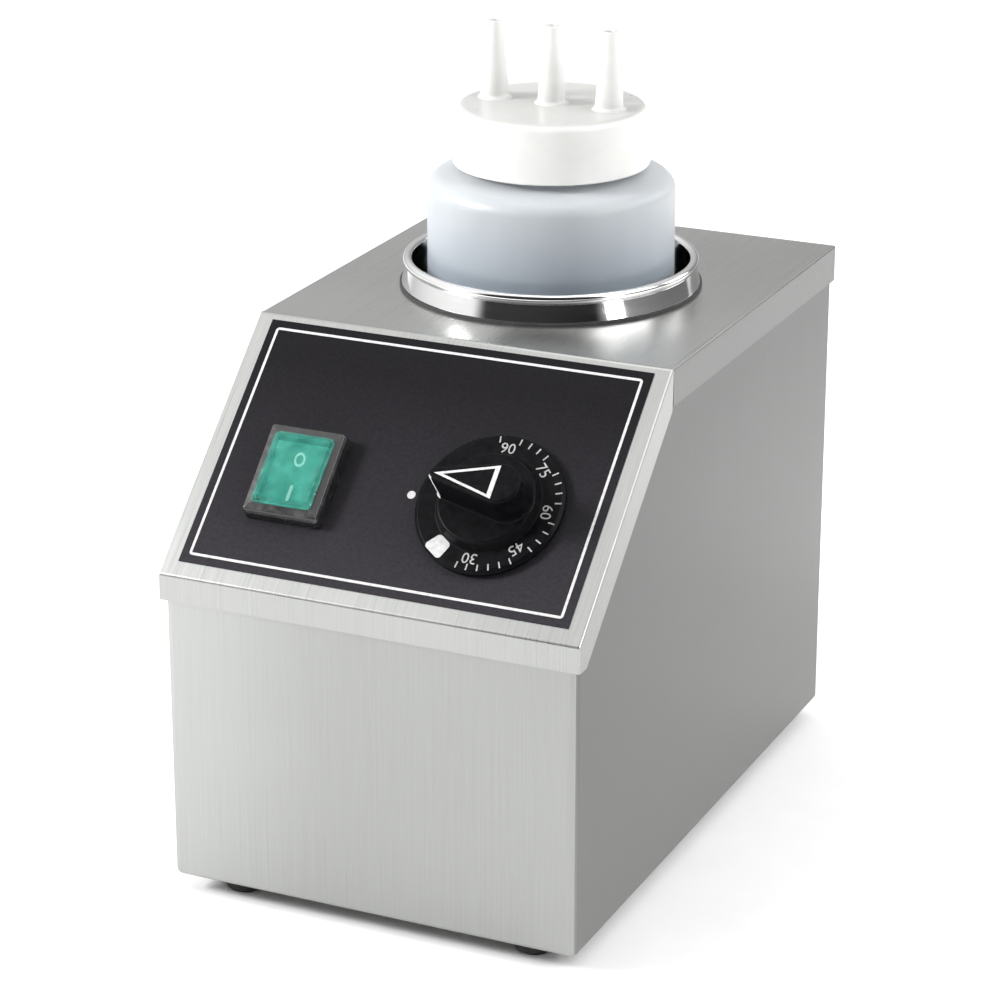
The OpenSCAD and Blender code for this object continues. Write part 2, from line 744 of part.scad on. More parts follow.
// Insulation in two halves, open at the front for the bulb and at the back for the band's ears
module insulation_sleeve() color("khaki") in_well(wool_z) difference() {
    tube(wool_r, wool_r + wool_t, wool_h);
    translate([0, 0, -over]) block(wool_gap, 2 * (wool_r + wool_t + over), wool_h + 2 * over);
}

module sensing_bulb() color("goldenrod") from_front(0, bulb_y, bulb_z)
    cylinder(d = bulb_d, h = bulb_l);

// Short sleeve, welded to the well, that the bulb is pushed into
module bulb_sleeve() color("silver") from_front(0, bulb_y, bulb_z + bulb_l * 0.35)
    tube(bulb_d / 2 + run_gap, bulb_d / 2 + run_gap + sleeve_t, sleeve_h);

module thermal_cutout() color("dimgray") in_well(pot_z - seat_gap - cutout_h) {
    cylinder(d = cutout_d, h = cutout_h);
    translate([0, 0, cutout_h - tab_t]) block(cutout_d + 2 * tab_l, tab_w, tab_t);
}

module cutout_terminals() color("gold")
    for (s = [-1, 1]) in_well(pot_z - seat_gap - cutout_h - cutout_blade_l)
        translate([s * cutout_blade_u, 0, 0]) block(blade_t, blade_w, cutout_blade_l);

// Wiring
module terminal_block() color("ivory") from_front(block_x, block_y, floor_z) difference() {
    block(block_w, block_l, block_h);
    for (i = [-1:1]) {
        translate([i * block_pitch, -block_l, block_h * 0.4]) rotate([-90, 0, 0])
            cylinder(d = wire_d + 2 * hole_gap, h = 2 * block_l);
        for (y = [-1, 1]) translate([i * block_pitch, y * block_l / 4, block_h * 0.4])
            cylinder(d = block_hole, h = block_h);
    }
}

module earth_stud() color("goldenrod") from_front(earth_x, earth_y, foot_h + sheet + eps) {
    cylinder(d = screw_d, h = earth_h);
    translate([0, 0, sheet]) cylinder(d = washer_d, h = washer_t, $fn = 32);
    translate([0, 0, sheet + washer_t - eps]) cylinder(d = stud_nut_d, h = stud_nut_h, $fn = 6);
}

module cable_gland() color("black") from_front(gland_x, body_d, foot_h + gland_z)
    rotate([-90, 0, 0]) difference() {
        union() {
            cylinder(d = gland_hex / cos(30), h = gland_nut_h, $fn = 6);
            translate([0, 0, gland_nut_h - eps])
                cylinder(d = gland_hex * 0.86, h = gland_neck_h + 2 * eps);
            translate([0, 0, gland_nut_h + gland_neck_h]) cylinder(d1 = gland_hex,
                d2 = gland_hex * 0.7, h = gland_out - gland_nut_h - gland_neck_h);
            translate([0, 0, -gland_in]) cylinder(d = gland_thread, h = gland_in + eps);
        }
        translate([0, 0, -gland_in - over])
            cylinder(d = gland_bore, h = gland_in + gland_out + 2 * over);
    }

module gland_locknut() color("black")
    from_front(gland_x, body_d - sheet - locknut_t, foot_h + gland_z) rotate([-90, 0, 0])
        difference() {
            cylinder(d = (gland_thread + 2 * locknut_rim) / cos(30), h = locknut_t, $fn = 6);
            translate([0, 0, -over])
                cylinder(d = gland_thread + 2 * run_gap, h = locknut_t + 2 * over);
        }

// Point at t of a smooth curve that leaves and arrives along the first and last legs of a path
function curve(path, t) = len(path) == 1 ? path[0]
    : curve([for (i = [1:len(path) - 1]) (1 - t) * path[i - 1] + t * path[i]], t);
function unit(v) = v / norm(v);

// A round wire swept along that curve, its rings square to the curve
module wire(d, path, steps = 28, sides = 8) {
    line = [for (i = [0:steps]) curve(path, i / steps)];
    last = len(path) - 1;
    ring = [for (i = [0:steps]) let (
            t = i == 0 ? unit(path[1] - path[0]) : i == steps ? unit(path[last] - path[last - 1])
                : unit(line[i + 1] - line[i - 1]),
            e = unit(cross(t, [0.31, 0.2, 0.93])), f = cross(t, e))
        [for (k = [0:sides - 1]) line[i] + d / 2 * (cos(360 * k / sides) * e + sin(360 * k / sides) * f)]];
    polyhedron(
        points = [for (r = ring, v = r) v],
        faces = concat(
            [[for (k = [0:sides - 1]) k]],
            [for (i = [0:steps - 1], k = [0:sides - 1]) let (n = (k + 1) % sides, b = i * sides)
                [b + k, b + sides + n, b + n]],
            [for (i = [0:steps - 1], k = [0:sides - 1]) let (n = (k + 1) % sides, b = i * sides)
                [b + k, b + sides + k, b + sides + n]],
            [[for (k = [sides - 1:-1:0]) steps * sides + k]]));
}

// Ends of the wires, at the faces that they meet
block_front = block_y - block_l / 2 - seat_gap;
block_wire_z = floor_z + block_h * 0.4;
cutout_tip_z = pot_z - seat_gap - cutout_h - cutout_blade_l - seat_gap;
heater_x = 10;
heater_y = well_y - sqrt(pow(pot_r + heater_t, 2) - pow(heater_x - wire_d / 2, 2)) - seat_gap;
heater_end_z = heater_z + heater_h * 0.4;
function switch_tip(u, v) = face_point(u - switch_u, switch_v + v, -switch_depth - blade_l - seat_gap);
function stat_tip(s) =
    face_point(knob_u + s * stat_blade_u, knob_v + stat_blade_v, stat_end - blade_l - seat_gap);

// Lane of the wires: just above the base plate, and in front of the insulation
lane_z = floor_z + 3 * wire_d;
dip_z = floor_z + wire_d;
lane_y = well_y - wool_r - wool_t - 3 * wire_d;
bend = 8 * wire_d;

module live_wire() color("saddlebrown") from_front() {
    p = [block_x - block_pitch, block_front, block_wire_z];
    q = switch_tip(-blade_u, -blade_v);
    wire(wire_d, [p, [p.x, lane_y, p.z], q - 2 * bend * face_out, q]);
}

module neutral_wire() color("royalblue") from_front() {
    p = [block_x, block_front, block_wire_z];
    q = [-heater_x, heater_y, heater_end_z];
    wire(wire_d, [p, [p.x, well_y, p.z], [p.x, lane_y, lane_z], [q.x, lane_y - bend, lane_z],
        [q.x, lane_y - bend, q.z], q]);
}

module earth_wire() color("yellowgreen") from_front() {
    p = [block_x + block_pitch, block_front, block_wire_z];
    q = [earth_x, earth_y + washer_d / 2 + seat_gap, floor_z + wire_d / 2 + seat_gap];
    wire(wire_d, [p, p - [0, wire_d, 0], q + [0, wire_d, 0], q], 10);
}

module switch_wire() color("saddlebrown") from_front() {
    p = switch_tip(blade_u, blade_v);
    q = stat_tip(-1);
    wire(wire_d, [p, p - bend * face_out, q - bend * face_out, q], 18);
}

module cutout_wire() color("saddlebrown") from_front() {
    p = stat_tip(1);
    q = [cutout_blade_u, well_y, cutout_tip_z];
    wire(wire_d, [p, p - bend * face_out, [p.x, lane_y - bend, lane_z], [q.x, well_y, dip_z], q]);
}

module heater_wire() color("saddlebrown") from_front() {
    p = [-cutout_blade_u, well_y, cutout_tip_z];
    q = [heater_x, heater_y, heater_end_z];
    wire(wire_d, [p, [p.x, p.y, dip_z], [q.x, lane_y, lane_z], [q.x, lane_y - bend, lane_z],
        [q.x, lane_y - bend, q.z], q]);
}

module capillary_tube() color("goldenrod") from_front() {
    p = [0, bulb_y, bulb_z - seat_gap];
    q = face_point(knob_u, knob_v, stat_end - seat_gap);
    wire(capillary_d, [p, p - [0, 0, bend], q - bend * face_out, q], 20);
}

// Bottle: side, rounded shoulder and neck, as the outline of one half, shrunk by t
function bottle_half(t) = concat(
    [[0, t]],
    arc(bottle_d / 2 - heel_r, heel_r, heel_r - t, -90, 0),
    arc(bottle_d / 2 - shoulder_r, bottle_side, shoulder_r - t, 0, 80),
    [[neck_d / 2 - t, neck_z - bottle_z - t]]);

module bottle_body() color("lavender", 0.6) in_well(bottle_z) rotate_extrude() {
    difference() {
        polygon(concat(bottle_half(0), [[0, neck_z - bottle_z]]));
        polygon(concat(bottle_half(bottle_wall), [[neck_bore / 2, neck_z - bottle_z + over],
            [0, neck_z - bottle_z + over]]));
    }
    translate([neck_bore / 2, neck_z - bottle_z - bottle_wall - neck_root])
        square([neck_wall, neck_h + bottle_wall + neck_root]);
}

module cap_ring() color("white") in_well(ring_z)
    tube(neck_bore / 2 - ring_lap, cap_bore / 2 - ring_slack, ring_t);

module nozzle_at() for (i = [-1:1]) translate([i * nozzle_pitch, 0, 0]) children();

module bottle_cap() color("white", 0.9) in_well(cap_z) difference() {
    union() {
        rotate_extrude() polygon(concat(
            [[0, 0], [cap_d / 2, 0], [cap_top_d / 2, cap_h - cap_edge]],
            arc(cap_top_d / 2 - cap_edge, cap_h - cap_edge, cap_edge, 10, 90),
            [[0, cap_h]]));
        nozzle_at() translate([0, 0, cap_h - eps])
            cylinder(d1 = nozzle_d, d2 = tip_d, h = nozzle_h + eps);
    }
    translate([0, 0, -over]) cylinder(d = cap_bore, h = cap_h - cap_t + over);
    nozzle_at() translate([0, 0, cap_h - cap_t - over]) cylinder(d1 = nozzle_d - 2 * nozzle_wall,
        d2 = tip_d - 2 * tip_wall, h = nozzle_h + cap_t + 2 * over);
}

body_shell();
top_cover();
rear_panel();
base_plate();
well_support();
foot_pads();
foot_screws();
rear_screws();
cover_screws();
control_overlay();
switch_housing();
switch_rocker();
splash_frame();
splash_cover();
switch_terminals();
thermostat_case();
thermostat_bracket();
thermostat_screws();
thermostat_terminals();
thermostat_spindle();
control_knob();
capillary_tube();
sensing_bulb();
bulb_sleeve();
well_pot();
well_collar();
well_seal();
heater_band();
band_clamp();
insulation_sleeve();
thermal_cutout();
cutout_terminals();
terminal_block();
earth_stud();
cable_gland();
gland_locknut();
live_wire();
neutral_wire();
earth_wire();
switch_wire();
cutout_wire();
heater_wire();
bottle_body();
cap_ring();
bottle_cap();
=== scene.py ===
import math

import bmesh
import bpy
import numpy as np
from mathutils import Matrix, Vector


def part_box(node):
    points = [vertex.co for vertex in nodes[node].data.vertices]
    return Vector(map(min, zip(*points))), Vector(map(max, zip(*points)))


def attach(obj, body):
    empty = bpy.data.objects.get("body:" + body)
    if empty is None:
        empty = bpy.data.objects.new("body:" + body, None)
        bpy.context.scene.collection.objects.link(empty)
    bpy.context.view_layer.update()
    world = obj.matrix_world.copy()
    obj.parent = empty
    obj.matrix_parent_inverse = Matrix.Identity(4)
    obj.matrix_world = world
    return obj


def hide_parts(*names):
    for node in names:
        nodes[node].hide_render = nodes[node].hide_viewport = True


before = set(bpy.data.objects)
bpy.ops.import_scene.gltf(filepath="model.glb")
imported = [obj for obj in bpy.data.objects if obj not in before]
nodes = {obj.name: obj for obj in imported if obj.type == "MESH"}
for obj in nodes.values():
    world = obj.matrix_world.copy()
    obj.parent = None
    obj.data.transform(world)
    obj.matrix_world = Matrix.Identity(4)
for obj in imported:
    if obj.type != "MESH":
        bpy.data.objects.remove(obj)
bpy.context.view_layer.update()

# Camera: the photograph's view, a long lens from the right and a little above.
camera = bpy.data.objects.new("camera", bpy.data.cameras.new("camera"))
camera.location = (0.4843, -1.0745, 0.5576)
aim = Vector((0, -0.01775, 0.1234)) - camera.location
camera.rotation_euler = aim.to_track_quat("-Z", "Y").to_euler()
camera.data.lens = 123.5
camera.data.clip_end = 50
scene = bpy.context.scene
scene.collection.objects.link(camera)
scene.camera = camera
scene.view_settings.view_transform = "Standard"


# Studio: a pale floor that fills the view, a key light from the front left, weak ones above and on the
# right, and two strips that draw the bright blocks on the well's collar. The sky is bright high on the
# front left, and dark behind the camera.
def new_material(name, color, roughness, metallic=0.0, **more):
    """An empty material with one Principled shader: returns the material and that shader. more gives
    further sockets their values, with _ for a space in their names."""
    material = bpy.data.materials.new(name)
    material.use_nodes = True
    shader = material.node_tree.nodes["Principled BSDF"]
    shader.inputs["Base Color"].default_value = (*color, 1)
    shader.inputs["Roughness"].default_value = roughness
    shader.inputs["Metallic"].default_value = metallic
    for socket, value in more.items():
        shader.inputs[socket.replace("_", " ")].default_value = value
    material.diffuse_color = (*color, 1)
    return material, shader


def add_node(tree, kind, inputs=(), **settings):
    """A shader node. settings are its own properties; inputs gives each socket, by its name or number,
    a value or the output of another node."""
    node = tree.nodes.new("ShaderNode" + kind)
    for name, value in settings.items():
        setattr(node, name, value)
    for socket, value in dict(inputs).items():
        if isinstance(value, bpy.types.NodeSocket):
            tree.links.new(value, node.inputs[socket])
        else:
            node.inputs[socket].default_value = value
    return node


def ranged(tree, value, low, high, start, end, smooth=False):
    """The output of a node that turns a value from low to high into one from start to end."""
    return add_node(tree, "MapRange", {"Value": value, "From Min": low, "From Max": high, "To Min": start,
                                       "To Max": end},
                    interpolation_type="SMOOTHSTEP" if smooth else "LINEAR").outputs["Result"]


def worked_out(tree, operation, *values):
    """The output of a Math node."""
    return add_node(tree, "Math", enumerate(values), operation=operation).outputs["Value"]


def speckle(material, shader, color_a, color_b, rough_a, rough_b, scale, stretch=(1, 1, 1), bump=0.0,
            depth=0.0001, detail=4.0):
    """Noise on Object coordinates, stretched along an axis where its factor is low, drives the colour
    from color_a to color_b, the roughness from rough_a to rough_b, and a bump."""
    tree = material.node_tree
    spread = add_node(tree, "Mapping", {"Vector": add_node(tree, "TexCoord").outputs["Object"],
                                        "Scale": stretch})
    noise = add_node(tree, "TexNoise", {"Vector": spread.outputs["Vector"], "Scale": scale,
                                        "Detail": detail}).outputs["Fac"]
    tint = add_node(tree, "ValToRGB", {"Fac": noise})
    for element, position, color in zip(tint.color_ramp.elements, (0.3, 0.7), (color_a, color_b)):
        element.position, element.color = position, (*color, 1)
    tree.links.new(tint.outputs["Color"], shader.inputs["Base Color"])
    tree.links.new(ranged(tree, noise, 0.3, 0.7, rough_a, rough_b), shader.inputs["Roughness"])
    if bump:
        relief = add_node(tree, "Bump", {"Height": noise, "Strength": bump, "Distance": depth})
        tree.links.new(relief.outputs["Normal"], shader.inputs["Normal"])


def grid_faces(rows, columns, wrap_rows=False, wrap_columns=False):
    """Corner numbers of the quads of a grid of points, outward where rows climb and columns run
    anticlockwise seen from above."""
    number = np.arange(rows * columns).reshape(rows, columns)
    if wrap_rows:
        number = np.vstack([number, number[:1]])
    if wrap_columns:
        number = np.hstack([number, number[:, :1]])
    quads = [number[:-1, :-1], number[:-1, 1:], number[1:, 1:], number[1:, :-1]]
    return np.stack(quads, -1).reshape(-1, 4)


def new_piece(name, points, faces, material, body, slot, fold=35.0, weighted=True):
    """A piece from points in millimetres. Folds sharper than fold degrees stay sharp, and the large
    faces keep their own normals."""
    mesh = bpy.data.meshes.new(name)
    metres = np.asarray(points, float).reshape(-1, 3) / 1000
    mesh.from_pydata(metres.tolist(), [], [list(f) for f in faces])
    shape = bmesh.new()
    shape.from_mesh(mesh)
    bmesh.ops.remove_doubles(shape, verts=shape.verts, dist=1e-6)
    bmesh.ops.dissolve_degenerate(shape, edges=shape.edges, dist=1e-7)
    shape.to_mesh(mesh)
    shape.free()
    mesh.shade_smooth()
    mesh.set_sharp_from_angle(angle=math.radians(fold))
    piece = bpy.data.objects.new(name, mesh)
    scene.collection.objects.link(piece)
    mesh.materials.append(material)
    if weighted:
        even = piece.modifiers.new("even_shading", "WEIGHTED_NORMAL")
        even.keep_sharp = True
    if body:
        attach(piece, body)
    return piece


paper, paper_shader = new_material("floor_paper", (0.9, 0.9, 0.9), 0.9)
speckle(paper, paper_shader, (0.89, 0.89, 0.89), (0.91, 0.91, 0.91), 0.88, 0.92, 40)
across = np.linspace(-5000, 5000, 11)
floor_x, floor_y = np.meshgrid(across, across)
floor = new_piece("floor", np.stack([floor_x, floor_y, np.zeros_like(floor_x)], -1), grid_faces(11, 11),
                  paper, None, None, weighted=False)


def soft_box(name, place, target, width, height, power):
    """An area light at place, in metres, turned to target."""
    lamp = bpy.data.lights.new(name, "AREA")
    lamp.shape = "RECTANGLE"
    lamp.size, lamp.size_y, lamp.energy = width, height, power
    holder = bpy.data.objects.new(name, lamp)
    holder.location = place
    holder.rotation_euler = (Vector(target) - Vector(place)).to_track_quat("-Z", "Y").to_euler()
    scene.collection.objects.link(holder)


soft_box("key_light", (-1.75, -1.1, 1.3), (0, 0, 0.12), 0.65, 0.65, 65)
soft_box("top_light", (0.1, 0.2, 2.2), (0, 0, 0), 1.6, 1.6, 8)
soft_box("fill_light", (1.5, 0.2, 1.5), (0, 0, 0.15), 1.4, 1.4, 18)
soft_box("strip_light", (1.35, -0.36, 0.75), (0, 0.03, 0.2), 0.35, 0.6, 6)
soft_box("back_strip", (0.85, 1.05, 0.7), (0, 0.03, 0.2), 0.7, 0.5, 4)
sky = bpy.data.worlds.new("sky")
sky.use_nodes = True
scene.world = sky
sky_place = add_node(sky.node_tree, "TexCoord").outputs["Generated"]
glow = []
for direction, low, high, dim, bright in (((-0.39, -0.28, 0.877), -0.5, 0.95, 0.18, 1.2),
                                          ((0.25, -0.92, 0.3), 0.6, 0.76, 1.0, 0.04)):
    towards = add_node(sky.node_tree, "VectorMath", {0: sky_place, 1: direction}, operation="DOT_PRODUCT")
    glow.append(ranged(sky.node_tree, towards.outputs["Value"], low, high, dim, bright, smooth=True))
backdrop = sky.node_tree.nodes["Background"]
backdrop.inputs["Color"].default_value = (1, 1, 1, 1)
sky.node_tree.links.new(worked_out(sky.node_tree, "MULTIPLY", *glow), backdrop.inputs["Strength"])

# Casing: one blank of 1.2 mm stainless sheet, brushed on the outside, folded round its two front
# corners and in along the bottom, with two flanges at the back that take the rear panel's screws.
front_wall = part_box("body_shell")[0].y * 1000
body_w, body_d, foot_h, sheet = 155.0, 240.0, 6.5, 1.2
corner_r, fold_r, flange = 3.0, 2.0, 32.0
fold_z, top_z, slope_run, lip_out = 121.5, 193.5, 76.5, 1.5
tilt = math.atan2(top_z - fold_z, slope_run + lip_out)
bend_y = ((top_z - fold_z - sheet - 0.1) * math.cos(tilt) + sheet + 0.1) / math.sin(tilt) - lip_out


def brushed_steel(name, color, roughness, painted_light_left, painted_light_right, painted_lip_highlight=False):
    """Brushed stainless sheet: fine streaks up the front, back and slope and along the top, and up the
    two sides, with a few longer dull bands, in colour, roughness and relief. Painted light makes the
    front brighter, from painted_light_left at its left edge to painted_light_right from its middle on,
    and painted shade makes the two sides darker, most towards the top. Where painted_lip_highlight is
    set, the side lips of the sloping face get a painted highlight, a plain lighter colour."""
    material, shader = new_material(name, color, roughness, 0.93)
    tree = material.node_tree
    place = add_node(tree, "TexCoord").outputs
    facing = add_node(tree, "SeparateXYZ", {"Vector": place["Normal"]}).outputs
    where = add_node(tree, "SeparateXYZ", {"Vector": place["Object"]}).outputs
    is_side = worked_out(tree, "GREATER_THAN", worked_out(tree, "ABSOLUTE", facing["X"]), 0.75)
    is_front = worked_out(tree, "LESS_THAN", facing["Y"], -0.8)
    streaks = []
    for stretch in ((2600, 22, 22), (22, 2600, 30)):
        spread = add_node(tree, "Mapping", {"Vector": place["Object"], "Scale": stretch})
        streaks.append(add_node(tree, "TexNoise", {"Vector": spread.outputs["Vector"], "Scale": 1.0,
                                                   "Detail": 6.0, "Roughness": 0.7}).outputs["Fac"])
    streak = add_node(tree, "Mix", {"Factor": is_side, "A": streaks[0], "B": streaks[1]}).outputs["Result"]
    cloud = add_node(tree, "TexNoise", {"Vector": place["Object"], "Scale": 14.0, "Detail": 3.0})
    both = worked_out(tree, "MULTIPLY_ADD", cloud.outputs["Fac"], 0.35, streak)
    # Painted shade: the side faces are darker, and darker still towards the top.
    painted_side_shade = ranged(tree, is_side, 0, 1, 1, ranged(tree, where["Z"], 0.01, 0.17, 0.68, 0.4))
    # Painted light: the front is brighter towards its left edge.
    painted_front_light = ranged(tree, where["X"], -0.085, 0, painted_light_left, painted_light_right, smooth=True)
    painted_front_gain = add_node(tree, "Mix", {"Factor": is_front, "A": 1.0, "B": painted_front_light}).outputs["Result"]
    shade = worked_out(tree, "MULTIPLY", ranged(tree, both, 0.4, 1, 0.88, 1.08), painted_side_shade)
    shade = worked_out(tree, "MULTIPLY", shade, painted_front_gain)
    # finish is the steel's colour with the grain's tone and the painted light and shade on it.
    finish = add_node(tree, "VectorMath", {0: color, "Scale": shade}, operation="SCALE").outputs["Vector"]
    # Painted highlight: the sloping face's side lips get a plain lighter colour, free of the painted side
    # shade.
    if painted_lip_highlight:
        ahead = worked_out(tree, "LESS_THAN", where["Y"], (front_wall + slope_run + 0.4) / 1000)
        lip = worked_out(tree, "MULTIPLY", ahead, is_side)
        finish = add_node(tree, "Mix", {"Factor": lip, 6: finish, 7: (0.38, 0.38, 0.37, 1)},
                          data_type="RGBA").outputs[2]
    tree.links.new(finish, shader.inputs["Base Color"])
    gloss = ranged(tree, both, 0.4, 1, roughness - 0.06, roughness + 0.08)
    tree.links.new(gloss, shader.inputs["Roughness"])
    relief = add_node(tree, "Bump", {"Height": streak, "Strength": 0.15, "Distance": 0.00004})
    tree.links.new(relief.outputs["Normal"], shader.inputs["Normal"])
    return material


def rounded(corners, closed=True, steps=5):
    """Corners (x, y, r) of an outline, each made an arc of radius r that touches both its sides: the
    arc's centre lies on the bisector, r / sin(half angle) from the corner."""
    corners = np.asarray(corners, float)
    out = []
    for i, (x, y, r) in enumerate(corners):
        here = np.array([x, y])
        if r == 0 or (not closed and i in (0, len(corners) - 1)):
            out.append(here[None])
            continue
        back = corners[i - 1, :2] - here
        on = corners[(i + 1) % len(corners), :2] - here
        back, on = back / np.linalg.norm(back), on / np.linalg.norm(on)
        half = math.acos(np.clip(back @ on, -1, 1)) / 2
        centre = (back + on) / np.linalg.norm(back + on) * r / math.sin(half)
        first, last = back * r / math.tan(half) - centre, on * r / math.tan(half) - centre
        sweep = math.pi - 2 * half
        t = np.linspace(0, 1, steps + 1)[:, None]
        arc = (np.sin((1 - t) * sweep) * first + np.sin(t * sweep) * last) / math.sin(sweep)
        out.append(here + centre + arc)
    return np.vstack(out)


def casing_plan(inset, z):
    """The casing's plan, drawn inset from its outer face, at height z: one height or one for each point."""
    x, r = body_w / 2 - inset, corner_r - inset
    left = [(-x, body_d, 0), (-x, bend_y, 0), (-x, flange, 0), (-x, inset, r), (flange - inset - x, inset, 0)]
    right = [(-corner[0], *corner[1:]) for corner in left[::-1]]
    plan = rounded(left + right, closed=False, steps=6)
    return np.column_stack([plan[:, 0], plan[:, 1] + front_wall, np.broadcast_to(z, len(plan))])


def under_cover(y):
    """Height of the walls' top edge at y: just under the sloping face, and then under the flat top."""
    slope = fold_z + ((y + lip_out) * math.sin(tilt) - sheet - 0.1) / math.cos(tilt)
    return np.minimum(slope, top_z - sheet - 0.1)


outer = casing_plan(0, 0)
plan_y = outer[:, 1] - front_wall
inner = np.column_stack([np.clip(outer[:, 0], -body_w / 2 + flange, body_w / 2 - flange),
                         np.maximum(outer[:, 1], front_wall + flange), np.full(len(outer), foot_h)])
bend = np.linspace(0, math.pi / 2, 6)
rings = [inner, *[casing_plan(fold_r * (1 - math.sin(a)), foot_h + fold_r * (1 - math.cos(a))) for a in bend]]
rings += [casing_plan(0, foot_h + fold_r + (under_cover(plan_y) - foot_h - fold_r) * share)
          for share in (0.02, 0.5, 1)]
rings = np.array(rings)


def make_real(piece, *tools):
    """Applies piece's modifiers, takes the tools out of it, and marks its folds again."""
    for tool in tools:
        knife = piece.modifiers.new("cut", "BOOLEAN")
        knife.operation, knife.solver, knife.object = "DIFFERENCE", "EXACT", tool
    bpy.context.view_layer.update()
    done = bpy.data.meshes.new_from_object(piece.evaluated_get(bpy.context.evaluated_depsgraph_get()))
    piece.modifiers.clear()
    piece.data = done
    done.name = piece.name
    for tool in tools:
        bpy.data.objects.remove(tool)
    done.shade_smooth()
    done.set_sharp_from_angle(angle=math.radians(35))
    even = piece.modifiers.new("even_shading", "WEIGHTED_NORMAL")
    even.keep_sharp = True


# Painted shade: this copy of the brushed steel is darker than the cover's, though both are the same sheet.
casing_steel = brushed_steel("brushed_casing_painted_dark", (0.345, 0.35, 0.34), 0.36, 1.25, 0.98)
shell_points = rings.reshape(-1, 3)
casing = new_piece("casing_shell", shell_points, grid_faces(len(rings), len(outer)), casing_steel,
                   "casing", "brushed_stainless", weighted=False)
thick = casing.modifiers.new("sheet", "SOLIDIFY")
thick.thickness, thick.offset, thick.use_even_offset = sheet / 1000, -1, True
make_real(casing)
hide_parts("body_shell")

# Top cover: one stainless sheet that makes the flat top, the sloping face and turned-down lips all
# round. Its front corners are welded and ground; a relief cut parts the side lips at the bend.
cover_x, front_lip, top_lip, slope_lip, relief_w = 79.0, 9.5, 13.5, 11.0, 0.8
back_y, low_z = body_d + lip_out, fold_z - front_lip
bend_z = top_z - slope_lip / math.cos(tilt)
low_y = (slope_lip - front_lip * math.cos(tilt)) / math.sin(tilt) - lip_out
side = np.array([(-lip_out, low_z), (-lip_out, fold_z), (slope_run, top_z), (slope_run, bend_z),
                 (low_y, low_z), (slope_run + relief_w, top_z), (back_y, top_z),
                 (back_y, top_z - top_lip), (slope_run + relief_w, top_z - top_lip)])
cover_points = np.vstack([np.column_stack([np.full(9, x), side[:, 0] + front_wall, side[:, 1]])
                          for x in (-cover_x, cover_x)])
cover_faces = [(9, 13, 12, 11, 10), (17, 16, 15, 14), (0, 1, 2, 3, 4), (8, 5, 6, 7),
               (0, 9, 10, 1), (1, 10, 11, 2), (2, 11, 14, 15, 6, 5), (16, 7, 6, 15)]
# Painted light: this copy of the brushed steel is lighter than the casing's, though both are the same sheet.
cover_steel = brushed_steel("brushed_cover_painted_light", (0.43, 0.435, 0.425), 0.3, 0.96, 0.9, painted_lip_highlight=True)
cover = new_piece("cover_sheet", cover_points, cover_faces, cover_steel, None, None, weighted=False)
folds = cover.modifiers.new("folds", "BEVEL")
folds.width, folds.segments, folds.limit_method, folds.angle_limit = 0.0014, 5, "ANGLE", math.radians(30)
gauge = cover.modifiers.new("sheet", "SOLIDIFY")
gauge.thickness, gauge.offset, gauge.use_even_offset = sheet / 1000, -1, True


def on_face(u, v, h):
    """Points of the sloping face in millimetres: u right of the middle, v up from the fold, h out of it."""
    u, v, h = np.broadcast_arrays(*(np.asarray(value, float) for value in (u, v, h)))
    return np.stack([u, v * math.cos(tilt) - h * math.sin(tilt) - lip_out + front_wall,
                     fold_z + v * math.sin(tilt) + h * math.cos(tilt)], -1)


def circle(radius, steps=96):
    """Points (x, y) of a circle, anticlockwise."""
    turn = np.linspace(0, 2 * math.pi, steps, endpoint=False)
    return radius * np.column_stack([np.cos(turn), np.sin(turn)])


def stack_faces(layers, around):
    """Faces of a closed stack of outlines: its sides, its floor and its top."""
    top = (layers - 1) * around
    return grid_faces(layers, around, wrap_columns=True).tolist() + [
        list(range(around))[::-1], list(range(top, top + around))]


def new_stack(name, layers, material, body, slot, **finish):
    """A piece from a closed stack of outlines."""
    layers = np.asarray(layers)
    return new_piece(name, layers, stack_faces(*layers.shape[:2]), material, body, slot, **finish)


def cutter(layers):
    """A closed stack of outlines that a boolean takes out of a piece."""
    return new_stack("cutter", layers, cover_steel, None, None, weighted=False)


well_y, pot_r, hole_r = front_wall + 153.0, 51.0, 51.6
switch_u, switch_v, knob_u, knob_v = -40.0, 43.4, 32.5, 44.5
hole_w, hole_l, shaft_r, reach_out = 24.2, 29.2, 5.0, 4.0
well_cut = [np.column_stack([circle(hole_r) + (0, well_y), np.full(96, z)]) for z in (top_z - 6, top_z + 6)]
window = np.array([(-1, -1), (1, -1), (1, 1), (-1, 1)]) * (hole_w / 2, hole_l / 2) + (switch_u, switch_v)
shaft = circle(shaft_r, 32) + (knob_u, knob_v)
window_cut, shaft_cut = [[on_face(*hole.T, h) for h in (-reach_out, reach_out)] for hole in (window, shaft)]
make_real(cover, cutter(well_cut), cutter(window_cut), cutter(shaft_cut))
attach(cover, "casing")
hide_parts("top_cover")

# Control overlay: a charcoal film glued to the sloping face, with a fine orange-peel texture, and a
# thin white line printed all round near its edge.
overlay_t, overlay_w, overlay_low, overlay_l = 0.4, 146.0, 6.0, 97.65
film, film_shader = new_material("overlay_film", (0.03, 0.03, 0.035), 0.42, Specular_IOR_Level=0.03)
speckle(film, film_shader, (0.026, 0.024, 0.028), (0.034, 0.032, 0.037), 0.42, 0.54, 900, bump=0.12,
        depth=0.00005)


